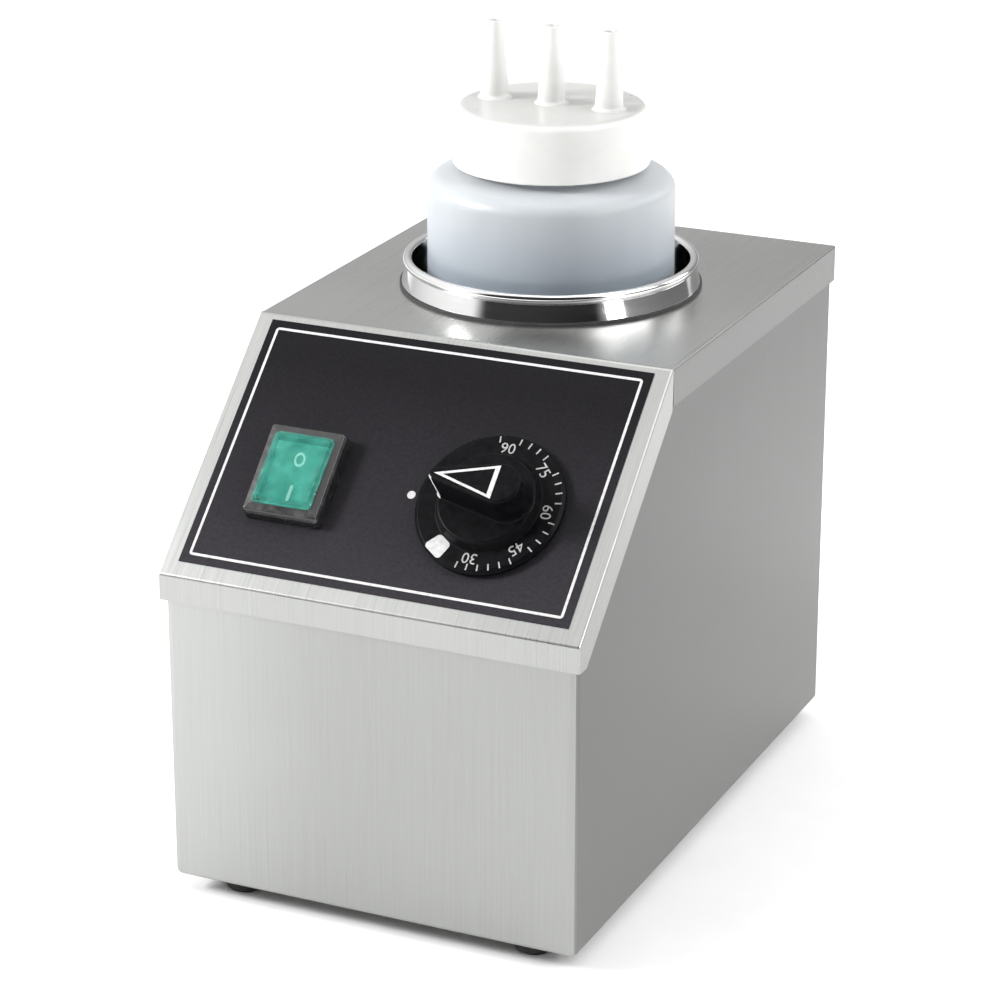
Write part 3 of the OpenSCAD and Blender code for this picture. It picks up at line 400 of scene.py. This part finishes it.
def fade_up(material, shader, low, high, color_low, color_high):
    """Paints light and shade into a material's colour by height: multiplies it by color_low at low and by
    color_high at high, in metres.
    """
    tree = material.node_tree
    where = add_node(tree, "SeparateXYZ", {"Vector": add_node(tree, "TexCoord").outputs["Object"]})
    cast = add_node(tree, "ValToRGB", {"Fac": ranged(tree, where.outputs["Z"], low, high, 0, 1)})
    for element, color in zip(cast.color_ramp.elements, (color_low, color_high)):
        element.color = (*color, 1)
    plain = shader.inputs["Base Color"].links[0].from_socket
    tint = add_node(tree, "Mix", {"Factor": 1.0, 6: plain, 7: cast.outputs["Color"]}, data_type="RGBA",
                    blend_type="MULTIPLY")
    tree.links.new(tint.outputs[2], shader.inputs["Base Color"])


# Painted shade: the film is darker towards the top of the slope.
fade_up(film, film_shader, 0.127, 0.182, (1, 1, 1), (0.38, 0.38, 0.38))


def dress(material, *names):
    """Gives CAD nodes a material."""
    for name in names:
        nodes[name].data.materials.clear()
        nodes[name].data.materials.append(material)


dress(film, "control_overlay")
ink, ink_shader = new_material("white_ink", (0.78, 0.78, 0.77), 0.45)
speckle(ink, ink_shader, (0.44, 0.44, 0.44), (0.6, 0.6, 0.6), 0.4, 0.5, 700)


def frame_outline(width, length, radius, inset=0.0, steps=5):
    """A rectangle with rounded corners, centred on (0, 0) and drawn inset from its edge."""
    x, y, r = width / 2 - inset, length / 2 - inset, max(radius - inset, 0.05)
    return rounded([(x, -y, r), (x, y, r), (-x, y, r), (-x, -y, r)], steps=steps)


def ring_on_face(section, outline, u, v):
    """A closed section of (inset, h) pairs carried round an outline: the points of each pair's ring."""
    return np.array([on_face(*(outline(inset) + (u, v)).T, h) for inset, h in section])


line_in, line_w, line_h, sunk = 2.9, 0.95, 0.06, 0.02


def line_outline(inset):
    """The white line's outer edge, drawn inset."""
    return frame_outline(overlay_w - 2 * line_in, overlay_l - 2 * line_in, 1.3, inset)


line_rings = ring_on_face([(0, overlay_t - sunk), (0, overlay_t + line_h), (line_w, overlay_t + line_h),
                           (line_w, overlay_t - sunk)], line_outline, 0, overlay_low + overlay_l / 2)
new_piece("border_line", line_rings, grid_faces(4, line_rings.shape[1], True, True), ink, "casing",
          "overlay_print")

# Mains switch: a black snap-in housing with a green rocker that glows through, and over it a moulded
# black splash frame that holds a clear domed cover.
moulded, moulded_shader = new_material("moulded_black", (0.01, 0.01, 0.011), 0.3, Specular_IOR_Level=0.22)
speckle(moulded, moulded_shader, (0.007, 0.007, 0.008), (0.013, 0.013, 0.014), 0.24, 0.36, 500, bump=0.05)
dress(moulded, "switch_housing", "thermal_cutout")
bezel_w, bezel_l, bezel_h, window_w, window_l = 29.6, 35.0, 6.4, 21.5, 26.5
rim_w = (bezel_w - window_w) / 2
bezel_low, bezel_top = overlay_t, overlay_t + bezel_h
bezel_section = rounded([(0, bezel_low, 0.15), (0.25, bezel_top - 1.3, 0.6), (1.0, bezel_top, 0.5),
                         (rim_w, bezel_top, 0.4), (rim_w, bezel_low + 2.2, 0), (1.2, bezel_low + 2.2, 0),
                         (1.2, bezel_low, 0)], steps=5)
bezel_rings = []
for inset, h in bezel_section:
    edge = frame_outline(bezel_w, bezel_l, 1.8, inset)
    beyond = np.clip(-window_l / 2 - edge[:, 1], 0, None)
    bezel_rings.append(on_face(edge[:, 0] + switch_u, edge[:, 1] + switch_v, h - 0.35 * beyond * (h > 3)))
glossy, glossy_shader = new_material("glossy_black", (0.012, 0.012, 0.013), 0.24, Specular_IOR_Level=0.85)
speckle(glossy, glossy_shader, (0.01, 0.01, 0.011), (0.018, 0.017, 0.018), 0.18, 0.3, 300, bump=0.05)
bezel = new_piece("splash_bezel", bezel_rings, grid_faces(len(bezel_rings), len(bezel_rings[0]), True, True),
                  glossy, "casing", "black_plastic")
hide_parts("splash_frame")

clear, clear_shader = new_material("clear_vinyl", (0.35, 0.85, 0.7), 0.12, Alpha=0.3, Specular_IOR_Level=0.7)
speckle(clear, clear_shader, (0.01, 0.24, 0.18), (0.05, 0.42, 0.32), 0.06, 0.16, 190, bump=0.5,
        depth=0.0008, detail=1.0)
dome_low = bezel_top + 0.1
dome_outer = [(0, 0), (0, 0.45), (0.25, 0.7), (0.8, 0.75), (1.0, 1.4), (1.5, 2.1), (2.2, 2.4), (6, 2.5)]
dome_inner = [(6, 1.9), (2.4, 1.85), (1.9, 1.6), (1.6, 1.0), (1.5, 0)]
dome_lap = 1.6


def dome_outline(inset):
    """The dome's outer edge, drawn inset."""
    return frame_outline(window_w + dome_lap, window_l + dome_lap, 2.2, inset)


dome_rings = ring_on_face([(inset, dome_low + h) for inset, h in dome_outer + dome_inner], dome_outline,
                          switch_u, switch_v)


def shell_faces(outer, inner, around):
    """Faces of a thin dome: outer rows that climb, inner rows that fall, both middles, and the rim."""
    rows = grid_faces(outer + inner, around, True, True).reshape(outer + inner, around, 4)
    middle = np.arange((outer - 1) * around, outer * around)
    caps = [middle.tolist(), (middle + around)[::-1].tolist()]
    return np.delete(rows, outer - 1, 0).reshape(-1, 4).tolist() + caps


dome_faces = shell_faces(len(dome_outer), len(dome_inner), dome_rings.shape[1])
dome = new_piece("splash_dome", dome_rings, dome_faces, clear, "casing", "clear_cover")
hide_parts("splash_cover")

green, green_shader = new_material("green_rocker", (0.05, 0.5, 0.36), 0.25, Coat_Weight=0.2,
                                   Subsurface_Weight=0.3, Subsurface_Radius=(0.001, 0.004, 0.003))
speckle(green, green_shader, (0.004, 0.2, 0.145), (0.012, 0.27, 0.205), 0.2, 0.35, 350, bump=0.08,
        depth=0.0002)
rocker_w, rocker_l, rocker_top, rocker_dip = 20.4, 24.0, 6.0, 0.9
pivot_h, rocker_tilt = -1.0, math.radians(7)


def on_rocker(u, v, h):
    """Points of the rocker, which is drawn level about its pivot and then tilted with its low half in."""
    return on_face(u + switch_u, v * math.cos(rocker_tilt) - h * math.sin(rocker_tilt) + switch_v,
                   v * math.sin(rocker_tilt) + h * math.cos(rocker_tilt) + pivot_h)


reach = np.linspace(-1, 1, 13)
hollow = np.column_stack([reach * rocker_l / 2, rocker_top - rocker_dip * (1 - np.abs(reach) ** 1.6)])
rocker_side = np.vstack([hollow[::-1], [(-rocker_l / 2, -1), (-rocker_l / 4, -6), (rocker_l / 4, -6),
                                        (rocker_l / 2, -1)]])
rocker_layers = [on_rocker(np.full(len(rocker_side), u), *rocker_side.T)
                 for u in (-rocker_w / 2, rocker_w / 2)]
rocker = new_stack("rocker_key", rocker_layers, green, "rocker", "rocker_green", weighted=False)
edges = rocker.modifiers.new("edges", "BEVEL")
edges.width, edges.segments, edges.limit_method, edges.angle_limit = 0.0006, 3, "ANGLE", math.radians(40)
rocker.modifiers.new("even_shading", "WEIGHTED_NORMAL")
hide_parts("switch_rocker")
mint, mint_shader = new_material("mint_marks", (0.55, 0.9, 0.78), 0.35)
speckle(mint, mint_shader, (0.5, 0.86, 0.74), (0.6, 0.93, 0.82), 0.3, 0.4, 400)


def rocker_surface(v):
    """Height of the rocker's hollowed top at v."""
    return rocker_top - rocker_dip * (1 - np.abs(v / (rocker_l / 2)) ** 1.6)


mark_h, mark_w, bar_l, bar_v, zero_r, zero_v = 0.12, 0.9, 6.0, -6.5, 2.6, 6.0
stroke = frame_outline(1.2, bar_l, 0.4) + (0, bar_v)
bar_layers = [on_rocker(*stroke.T, rocker_surface(stroke[:, 1]) + h) for h in (-0.1, mark_h)]
new_stack("rocker_on_mark", bar_layers, mint, "rocker", "rocker_green")
zero_rings = []
for inset, h in ((0, 0), (0, mark_h), (mark_w, mark_h), (mark_w, 0)):
    oval = circle(zero_r - inset, 40) * (0.8, 1) + (0, zero_v)
    zero_rings.append(on_rocker(*oval.T, rocker_surface(oval[:, 1]) + h - sunk))
new_piece("rocker_off_mark", zero_rings, grid_faces(4, 40, True, True), mint, "rocker", "rocker_green")

# Control knob: pressed black phenolic on the thermostat's flatted spindle. A thin skirt carries the
# white scale, and a grip with a round heel stands on its hub and points left to a dot on the panel.
phenolic, phenolic_shader = new_material("black_phenolic", (0.012, 0.012, 0.013), 0.34,
                                         Specular_IOR_Level=0.06)
speckle(phenolic, phenolic_shader, (0.002, 0.002, 0.0025), (0.005, 0.005, 0.006), 0.3, 0.42, 420, bump=0.06)
skirt_r, skirt_low, skirt_top, hub_r, hub_top, grip_top = 26.5, 1.4, 3.8, 18.0, 7.8, 20.9


def turned_on_face(profile, u, v, steps=128):
    """A closed profile of (r, h) pairs turned about the face's normal at (u, v)."""
    return np.array([on_face(*(circle(r, steps) + (u, v)).T, h) for r, h in profile])


spindle_r = 3.1
skirt_profile = rounded([(spindle_r, skirt_low, 0), (skirt_r, skirt_low, 0.25),
                         (skirt_r, skirt_top - 1.1, 0.4), (skirt_r - 1.3, skirt_top, 0.5),
                         (hub_r + 0.6, skirt_top, 0.5), (hub_r - 0.9, hub_top, 1.0),
                         (spindle_r, hub_top, 0)], steps=4)
skirt_rings = turned_on_face(skirt_profile, knob_u, knob_v)
skirt = new_piece("knob_skirt", skirt_rings, grid_faces(len(skirt_rings), 128, True, True), phenolic, "knob",
                  "knob_black")
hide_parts("control_knob")
heel_r, nose_r = 7.5, 2.4
heel_x, nose_x = hub_r - heel_r - 1.5, nose_r + 1.2 - hub_r


def grip_outline(inset, steps=16):
    """Outline of the grip: arcs about the heel and the nose, joined by the lines that touch both."""
    heel, nose = heel_r - inset, nose_r - inset
    lean = math.asin((heel - nose) / (heel_x - nose_x))
    back = np.linspace(-math.pi / 2 - lean, math.pi / 2 + lean, steps)
    front = np.linspace(math.pi / 2 + lean, 3 * math.pi / 2 - lean, steps)
    return np.vstack([np.column_stack([heel_x + heel * np.cos(back), heel * np.sin(back)]),
                      np.column_stack([nose_x + nose * np.cos(front), nose * np.sin(front)])])


grip_section = [(-1.3, hub_top - 0.1), (-0.9, hub_top + 0.25), (-0.55, hub_top + 0.9), (-0.35, hub_top + 2),
                (0, grip_top - 1.0), (0.12, grip_top - 0.5), (0.45, grip_top - 0.12), (0.95, grip_top)]
grip_layers = [on_face(*(grip_outline(inset) + (knob_u, knob_v)).T, h) for inset, h in grip_section]
new_stack("knob_grip", grip_layers, phenolic, "knob", "knob_black", fold=50)
grey_ink, grey_ink_shader = new_material("grey_ink", (0.34, 0.34, 0.34), 0.45)
speckle(grey_ink, grey_ink_shader, (0.27, 0.27, 0.27), (0.4, 0.4, 0.4), 0.4, 0.5, 700)


def joined(grids, faces):
    """Grids of points with the same faces as one mesh: all their points, and the faces of each."""
    grids = [np.reshape(grid, (-1, 3)) for grid in grids]
    count = len(grids[0])
    return np.vstack(grids), [[n + i * count for n in face] for i in range(len(grids)) for face in faces]


def plate_on_knob(name, outlines, h, paint):
    """Printed marks on the knob: each outline of (u, v) about the knob's axis, a thin plate on height h."""
    plates = [[on_face(*(outline + (knob_u, knob_v)).T, level) for level in (h - 0.03, h + 0.06)]
              for outline in outlines]
    return new_piece(name, *joined(plates, stack_faces(2, len(outlines[0]))), paint, "knob", "knob_black",
                     weighted=False)


nose_turn = np.radians(np.linspace(205, 250, 10))


def nose_strip(levels, turn, lift):
    """A strip on the grip's nose: at each (inset, h) an arc about the nose's middle, lift off its skin."""
    return np.array([on_face(nose_x + (nose_r - inset + lift) * np.cos(turn) + knob_u,
                             (nose_r - inset + lift) * np.sin(turn) + knob_v, h) for inset, h in levels])


# The nose line: a white strip, in the same white as the printing, down the lower left flank of the grip's
# nose, from just above the hub to just under the grip's top.
line_levels = [(inset, h) for inset, h in grip_section if hub_top + 0.2 < h < grip_top - 0.05]
line_skin, line_under = nose_strip(line_levels, nose_turn, 0.06), nose_strip(line_levels, nose_turn, -0.05)
around_line = np.concatenate([line_skin, line_under[:, ::-1]], axis=1)
new_stack("nose_line", around_line, ink, "knob", "knob_black", weighted=False)
pointer = np.array([(-14.8, 0), (7.8, -6.3), (7.8, 6.3)])
centre = pointer.mean(0)
arrow_rings = np.array([on_face(*(centre + (pointer - centre) * scale + (knob_u, knob_v)).T, h)
                        for scale, h in ((1, grip_top - 0.03), (1, grip_top + 0.06), (0.78, grip_top + 0.06),
                                         (0.78, grip_top - 0.03))])
new_piece("knob_arrow", arrow_rings, grid_faces(4, 3, True, True), ink, "knob", "knob_black", weighted=False)


def turned_by(outline, angle):
    """An outline turned anticlockwise about the knob's axis, angle in degrees."""
    c, s = math.cos(math.radians(angle)), math.sin(math.radians(angle))
    return outline @ np.array([(c, s), (-s, c)])


tick_l, tick_w, tick_at, digit_size, digit_at = 2.4, 0.5, 24.4, 5.6, 21.0
tick = frame_outline(tick_l, tick_w, 0.1) + (tick_at, 0)
tick_turns = [turn for turn in np.arange(-99, 100, 9) if turn % 45 or turn == -90]
plate_on_knob("scale_ticks", [turned_by(tick, turn) for turn in tick_turns], skirt_top, grey_ink)
start_mark = rounded([(18.9, -3.0, 1.4), (25.6, -4.2, 1.4), (25.6, 4.2, 1.4), (18.9, 3.0, 1.4)])
plate_on_knob("start_mark", [turned_by(start_mark, -124)], skirt_top, ink)
for number, angle in ((30, -90), (45, -45), (60, 0), (75, 45), (90, 90)):
    writing = bpy.data.curves.new("scale_%d" % number, "FONT")
    writing.body, writing.size, writing.align_x, writing.align_y = str(number), digit_size, "CENTER", "CENTER"
    writing.extrude, writing.resolution_u = 0.04, 3
    text = bpy.data.objects.new("text", writing)
    scene.collection.objects.link(text)
    bpy.context.view_layer.update()
    letters = bpy.data.meshes.new_from_object(text.evaluated_get(bpy.context.evaluated_depsgraph_get()))
    bpy.data.objects.remove(text)
    corners = np.zeros(len(letters.vertices) * 3, np.float32)
    letters.vertices.foreach_get("co", corners)
    corners = corners.reshape(-1, 3)
    flat = turned_by(turned_by(corners[:, :2], -90) + (digit_at, 0), angle)
    placed = on_face(flat[:, 0] + knob_u, flat[:, 1] + knob_v, skirt_top + 0.02 + corners[:, 2])
    new_piece("scale_%d" % number, placed, [tuple(p.vertices) for p in letters.polygons], grey_ink, "knob",
              "knob_black", weighted=False)
dot_r, dot_h, dot_away, centre_r = 1.5, 0.08, 30, 0.01
dot = turned_on_face([(centre_r, overlay_t - sunk), (dot_r, overlay_t - sunk), (dot_r, overlay_t + dot_h),
                      (centre_r, overlay_t + dot_h)], knob_u - dot_away, knob_v, 32)
new_stack("panel_dot", dot, ink, "casing", "overlay_print")

# Well: a deep-drawn stainless pot, mirror polished, with a rolled rim. It hangs in the cover on a
# polished collar that flares towards its foot, over a black silicone seal.
polished, polished_shader = new_material("mirror_stainless", (0.8, 0.8, 0.8), 0.06, 1.0)
speckle(polished, polished_shader, (0.76, 0.76, 0.76), (0.84, 0.84, 0.835), 0.04, 0.12, 30, stretch=(1, 1, 6),
        bump=0.03, depth=0.0002)


def turned(profile, x, y, steps=160):
    """A profile of (r, z) pairs turned about the upright line through (x, y)."""
    return np.array([np.column_stack([circle(r, steps) + (x, y), np.full(steps, z)]) for r, z in profile])


rim_z, pot_wall, bead = 204.5, 0.8, 3.5
pot_floor, heel_bend = rim_z - 150.0, 3.0
bead_r, bead_z = pot_r + bead / 2 - 0.5, rim_z - bead / 2
roll = np.linspace(math.radians(-150), math.radians(180), 24)
sweep = np.linspace(0, -math.pi / 2, 8)
pot_profile = np.vstack([[(0, pot_floor - pot_wall), (pot_r - 0.6, pot_floor - pot_wall),
                          (pot_r, pot_floor - pot_wall + 0.6), (pot_r, bead_z - 1.6)],
                         bead / 2 * np.column_stack([np.cos(roll), np.sin(roll)]) + (bead_r, bead_z),
                         [(pot_r - pot_wall, bead_z - 2.2)],
                         heel_bend * (1 + np.column_stack([np.cos(sweep), np.sin(sweep)]))
                         + (pot_r - pot_wall - 2 * heel_bend, pot_floor),
                         [(0, pot_floor)]])
pot_rings = turned(pot_profile, 0, well_y)
pot = new_piece("well_pot_polished", pot_rings, grid_faces(len(pot_rings), 160, wrap_columns=True), polished,
                "casing", "polished_stainless")
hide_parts("well_pot")
collar_foot, collar_top, collar_in, seal_t = 54.7, 52.6, 51.8, 1.0
collar_profile = rounded([(collar_foot, top_z + seal_t, 0.3), (collar_top, rim_z - bead - 0.1, 0.3),
                          (collar_in, rim_z - bead - 0.1, 0), (collar_in, top_z + seal_t, 0)], steps=4)
collar_rings = turned(collar_profile, 0, well_y)
collar = new_piece("collar_ring", collar_rings, grid_faces(len(collar_rings), 160, True, True), polished,
                   "casing", "polished_stainless")
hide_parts("well_collar")
silicone, silicone_shader = new_material("black_silicone", (0.03, 0.03, 0.03), 0.7)
speckle(silicone, silicone_shader, (0.025, 0.025, 0.025), (0.045, 0.045, 0.045), 0.6, 0.8, 600, bump=0.1)
dress(silicone, "well_seal")

# Squeeze bottle: blow-moulded translucent polyethylene, bluish, with painted shade that makes it darker
# and bluer down in the dark well, a rounded shoulder and a threaded neck.
bottle_skin, bottle_shader = new_material(
    "bottle_polyethylene", (0.8, 0.85, 0.89), 0.4, Sheen_Weight=0.6, Sheen_Roughness=0.45, IOR=1.5,
    Transmission_Weight=0.55, Subsurface_Weight=0.25, Subsurface_Radius=(0.006, 0.006, 0.008))
speckle(bottle_skin, bottle_shader, (0.78, 0.815, 0.845), (0.86, 0.885, 0.905), 0.32, 0.48, 60,
        stretch=(1, 1, 0.3), bump=0.15, depth=0.0004)
# Painted shade: the bottle is darker and bluer down in the dark well, and lighter above its rim.
fade_up(bottle_skin, bottle_shader, 0.2, 0.232, (0.6, 0.66, 0.73), (0.9, 0.905, 0.91))
bottle_r, bottle_z, bottle_side, shoulder_r, base_r = 45.0, 54.6, 174.5, 6.0, 4.0
neck_r, neck_z, lip_z, bottle_wall, neck_wall = 31.0, 237.5, 257.1, 1.3, 2.0


def bottle_half(t):
    """Half of the bottle's outline, t inside its skin: heel, side, rounded shoulder and neck."""
    heel = np.linspace(-math.pi / 2, 0, 8)
    shoulder = np.linspace(0, math.radians(80), 12)
    low, high = bottle_z + base_r, bottle_z + bottle_side
    return np.vstack([[(0, bottle_z + t)],
                      (base_r - t) * np.column_stack([np.cos(heel), np.sin(heel)]) + (bottle_r - base_r, low),
                      np.column_stack([np.full(9, bottle_r - t), np.linspace(low + 10, high - 10, 9)]),
                      (shoulder_r - t) * np.column_stack([np.cos(shoulder), np.sin(shoulder)])
                      + (bottle_r - shoulder_r, high),
                      [(neck_r + 1.5 - t, neck_z - 0.3 - t),
                       (neck_r - t * neck_wall / bottle_wall, neck_z + 1.2 - t)]])


mouth = [(neck_r, lip_z - 0.5), (neck_r - 0.5, lip_z), (neck_r - neck_wall + 0.5, lip_z),
         (neck_r - neck_wall, lip_z - 0.5)]
bottle_rings = turned(np.vstack([bottle_half(0), mouth, bottle_half(bottle_wall)[::-1]]), 0, well_y)
bottle = new_piece("squeeze_bottle", bottle_rings, grid_faces(len(bottle_rings), 160, wrap_columns=True),
                   bottle_skin, "bottle", "bottle_plastic", fold=50)
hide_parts("bottle_body")
pitch, turns = 4.233, 2.2
along = np.linspace(0, 1, 220)
fade = np.clip(np.minimum(along, 1 - along) * 14, 0, 1)[:, None]
ridge = np.array([(-0.1, -1.2), (0.9, -0.45), (0.9, 0.45), (-0.1, 1.2)])
ridge_r = neck_r + ridge[:, 0] * fade - 0.05
ridge_z = neck_z + 3.5 + (along * turns * pitch)[:, None] + ridge[:, 1] * (0.3 + 0.7 * fade)
spin = (along * turns * 2 * math.pi)[:, None]
thread_points = np.stack([ridge_r * np.cos(spin), ridge_r * np.sin(spin) + well_y, ridge_z], -1)
new_stack("neck_thread", thread_points, bottle_skin, "bottle", "bottle_plastic", fold=70, weighted=False)

# Screw cap: injection-moulded, whiter than the bottle, with three tapered nozzles in a row that run
# through its flat top, and a foam sealing ring inside.
cap_skin, cap_shader = new_material("cap_polyethylene", (0.93, 0.93, 0.91), 0.32, Transmission_Weight=0.3,
                                    Subsurface_Weight=0.3, Subsurface_Radius=(0.006, 0.006, 0.005))
speckle(cap_skin, cap_shader, (0.87, 0.87, 0.85), (0.93, 0.93, 0.915), 0.27, 0.38, 90, bump=0.08,
        depth=0.0002)
# Painted shade: faces that look up, the cap's flat top and the nozzles' tips, are mixed towards grey, where
# the dark inside would show through.
cap_tree = cap_skin.node_tree
cap_facing = add_node(cap_tree, "SeparateXYZ", {"Vector": add_node(cap_tree, "TexCoord").outputs["Normal"]})
top_shade_mask = ranged(cap_tree, cap_facing.outputs["Z"], 0.6, 0.95, 0, 1, smooth=True)
cap_plain = cap_shader.inputs["Base Color"].links[0].from_socket
cap_painted_shade = add_node(cap_tree, "Mix", {"Factor": top_shade_mask, 6: cap_plain, 7: (0.6, 0.6, 0.585, 1)},
                    data_type="RGBA")
cap_tree.links.new(cap_painted_shade.outputs[2], cap_shader.inputs["Base Color"])
cap_r, cap_top_r, cap_h, cap_t, cap_edge, cap_bore, cap_z = 35.75, 34.2, 21.3, 1.8, 3.0, 33.2, 239.2
cap_top = cap_z + cap_h
cap_profile = rounded([(cap_bore, cap_z, 0.3), (cap_r, cap_z, 0.5), (cap_top_r, cap_top, cap_edge),
                       (centre_r, cap_top, 0), (centre_r, cap_top - cap_t, 0),
                       (cap_bore, cap_top - cap_t, 1.0)], steps=8)
cap_rings = turned(cap_profile, 0, well_y)
cap = new_piece("cap_shell", cap_rings, grid_faces(len(cap_rings), 160, True, True), cap_skin, None, None,
                fold=50, weighted=False)
nozzle_pitch, nozzle_h, nozzle_r, tip_r, nozzle_wall = 22.4, 28.2, 5.2, 2.8, 1.3
nozzle_xs = [-nozzle_pitch, 0, nozzle_pitch]
nozzle_bore = nozzle_r - nozzle_wall
make_real(cap, *[cutter(turned([(nozzle_bore, cap_top - 4), (nozzle_bore, cap_top + 2)], x, well_y, 48))
                 for x in nozzle_xs])
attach(cap, "cap")
nozzle_profile = rounded([(nozzle_bore, cap_top - cap_t, 0), (nozzle_r - 0.3, cap_top - cap_t, 0),
                          (nozzle_r - 0.3, cap_top - 0.2, 0), (nozzle_r + 1.3, cap_top - 0.05, 0.1),
                          (nozzle_r, cap_top + 0.9, 1.5), (tip_r, cap_top + nozzle_h, 0.4),
                          (tip_r - 1.1, cap_top + nozzle_h, 0.3)], steps=4)
nozzle_points, nozzle_faces = joined([turned(nozzle_profile, x, well_y, 64) for x in nozzle_xs],
                                     grid_faces(len(nozzle_profile), 64, True, True).tolist())
new_piece("cap_nozzles", nozzle_points, nozzle_faces, cap_skin, "cap", "cap_plastic", fold=50)
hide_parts("bottle_cap")
foam, foam_shader = new_material("foam_ring", (0.9, 0.9, 0.88), 0.8)
speckle(foam, foam_shader, (0.82, 0.82, 0.8), (0.92, 0.92, 0.9), 0.75, 0.9, 1500, bump=0.4)
dress(foam, "cap_ring")

# Feet: four moulded rubber pads, each with a counterbore for the steel screw that holds it.
rubber, rubber_shader = new_material("foot_rubber", (0.02, 0.02, 0.02), 0.75)
speckle(rubber, rubber_shader, (0.015, 0.015, 0.015), (0.035, 0.035, 0.035), 0.65, 0.85, 500, bump=0.15)
foot_r, foot_sole, foot_bore, foot_in = 7.0, 6.0, 4.3, 14.0
foot_profile = rounded([(foot_bore, 0, 0.3), (foot_sole, 0, 0.5), (foot_r, 1.2, 0.6), (foot_r, foot_h, 0.4),
                        (2.2, foot_h, 0), (2.2, 2.6, 0), (foot_bore, 2.6, 0)], steps=3)
foot_places = [(x, front_wall + y) for x in (-56.5, 56.5) for y in (foot_in, body_d - foot_in)]
foot_points, foot_faces = joined([turned(foot_profile, x, y, 48) for x, y in foot_places],
                                 grid_faces(len(foot_profile), 48, True, True).tolist())
feet = new_piece("rubber_feet", foot_points, foot_faces, rubber, "casing", "foot_rubber")
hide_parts("foot_pads")

# Rear panel, base plate and fasteners: plain stainless sheets, zinc-plated pan head screws, and a
# black nylon gland with its nut where a mains cable comes in.
dress(casing_steel, "rear_panel")
plain, plain_shader = new_material("plain_steel", (0.5, 0.5, 0.5), 0.42, 1.0)
speckle(plain, plain_shader, (0.45, 0.46, 0.47), (0.55, 0.555, 0.56), 0.35, 0.5, 60, stretch=(8, 1, 1),
        bump=0.05)
dress(plain, "base_plate", "well_support", "thermostat_case", "thermostat_bracket", "bulb_sleeve")
zinc, zinc_shader = new_material("zinc_plate", (0.62, 0.62, 0.62), 0.3, 1.0)
speckle(zinc, zinc_shader, (0.56, 0.57, 0.58), (0.68, 0.68, 0.66), 0.22, 0.38, 300, bump=0.05)
dress(zinc, "foot_screws", "rear_screws", "cover_screws", "thermostat_screws", "thermostat_spindle",
      "band_clamp")
nylon, nylon_shader = new_material("gland_nylon", (0.025, 0.025, 0.027), 0.45)
speckle(nylon, nylon_shader, (0.02, 0.02, 0.022), (0.035, 0.035, 0.037), 0.4, 0.55, 450, bump=0.08)
dress(nylon, "cable_gland", "gland_locknut")

# Inside: heater band and insulation round the well, the thermostat's bulb and capillary, brass blades,
# a moulded terminal block, and silicone-covered wires.
for name, color_a, color_b, rough, metallic, scale, bump, users in (
        ("heater_strip", (0.5, 0.44, 0.36), (0.64, 0.6, 0.54), 0.4, 1.0, 70, 0.05, ("heater_band",)),
        ("mineral_wool", (0.55, 0.5, 0.34), (0.8, 0.75, 0.56), 0.95, 0.0, 260, 0.9, ("insulation_sleeve",)),
        ("drawn_copper", (0.62, 0.33, 0.2), (0.78, 0.46, 0.3), 0.3, 1.0, 200, 0.03,
         ("capillary_tube", "sensing_bulb")),
        ("brass_blades", (0.66, 0.52, 0.24), (0.8, 0.66, 0.36), 0.3, 1.0, 300, 0.04,
         ("switch_terminals", "thermostat_terminals", "cutout_terminals", "earth_stud")),
        ("white_block", (0.78, 0.77, 0.72), (0.86, 0.85, 0.81), 0.4, 0.0, 200, 0.05, ("terminal_block",)),
        ("brown_sleeve", (0.14, 0.06, 0.025), (0.22, 0.1, 0.045), 0.45, 0.0, 300, 0.08,
         ("live_wire", "switch_wire", "cutout_wire", "heater_wire")),
        ("blue_sleeve", (0.03, 0.1, 0.4), (0.06, 0.17, 0.55), 0.45, 0.0, 300, 0.08, ("neutral_wire",)),
        ("green_sleeve", (0.22, 0.45, 0.05), (0.4, 0.62, 0.1), 0.45, 0.0, 300, 0.08, ("earth_wire",))):
    inner_skin, inner_shader = new_material(name, color_a, rough, metallic)
    speckle(inner_skin, inner_shader, color_a, color_b, rough - 0.05, min(rough + 0.08, 1), scale, bump=bump)
    dress(inner_skin, *users)
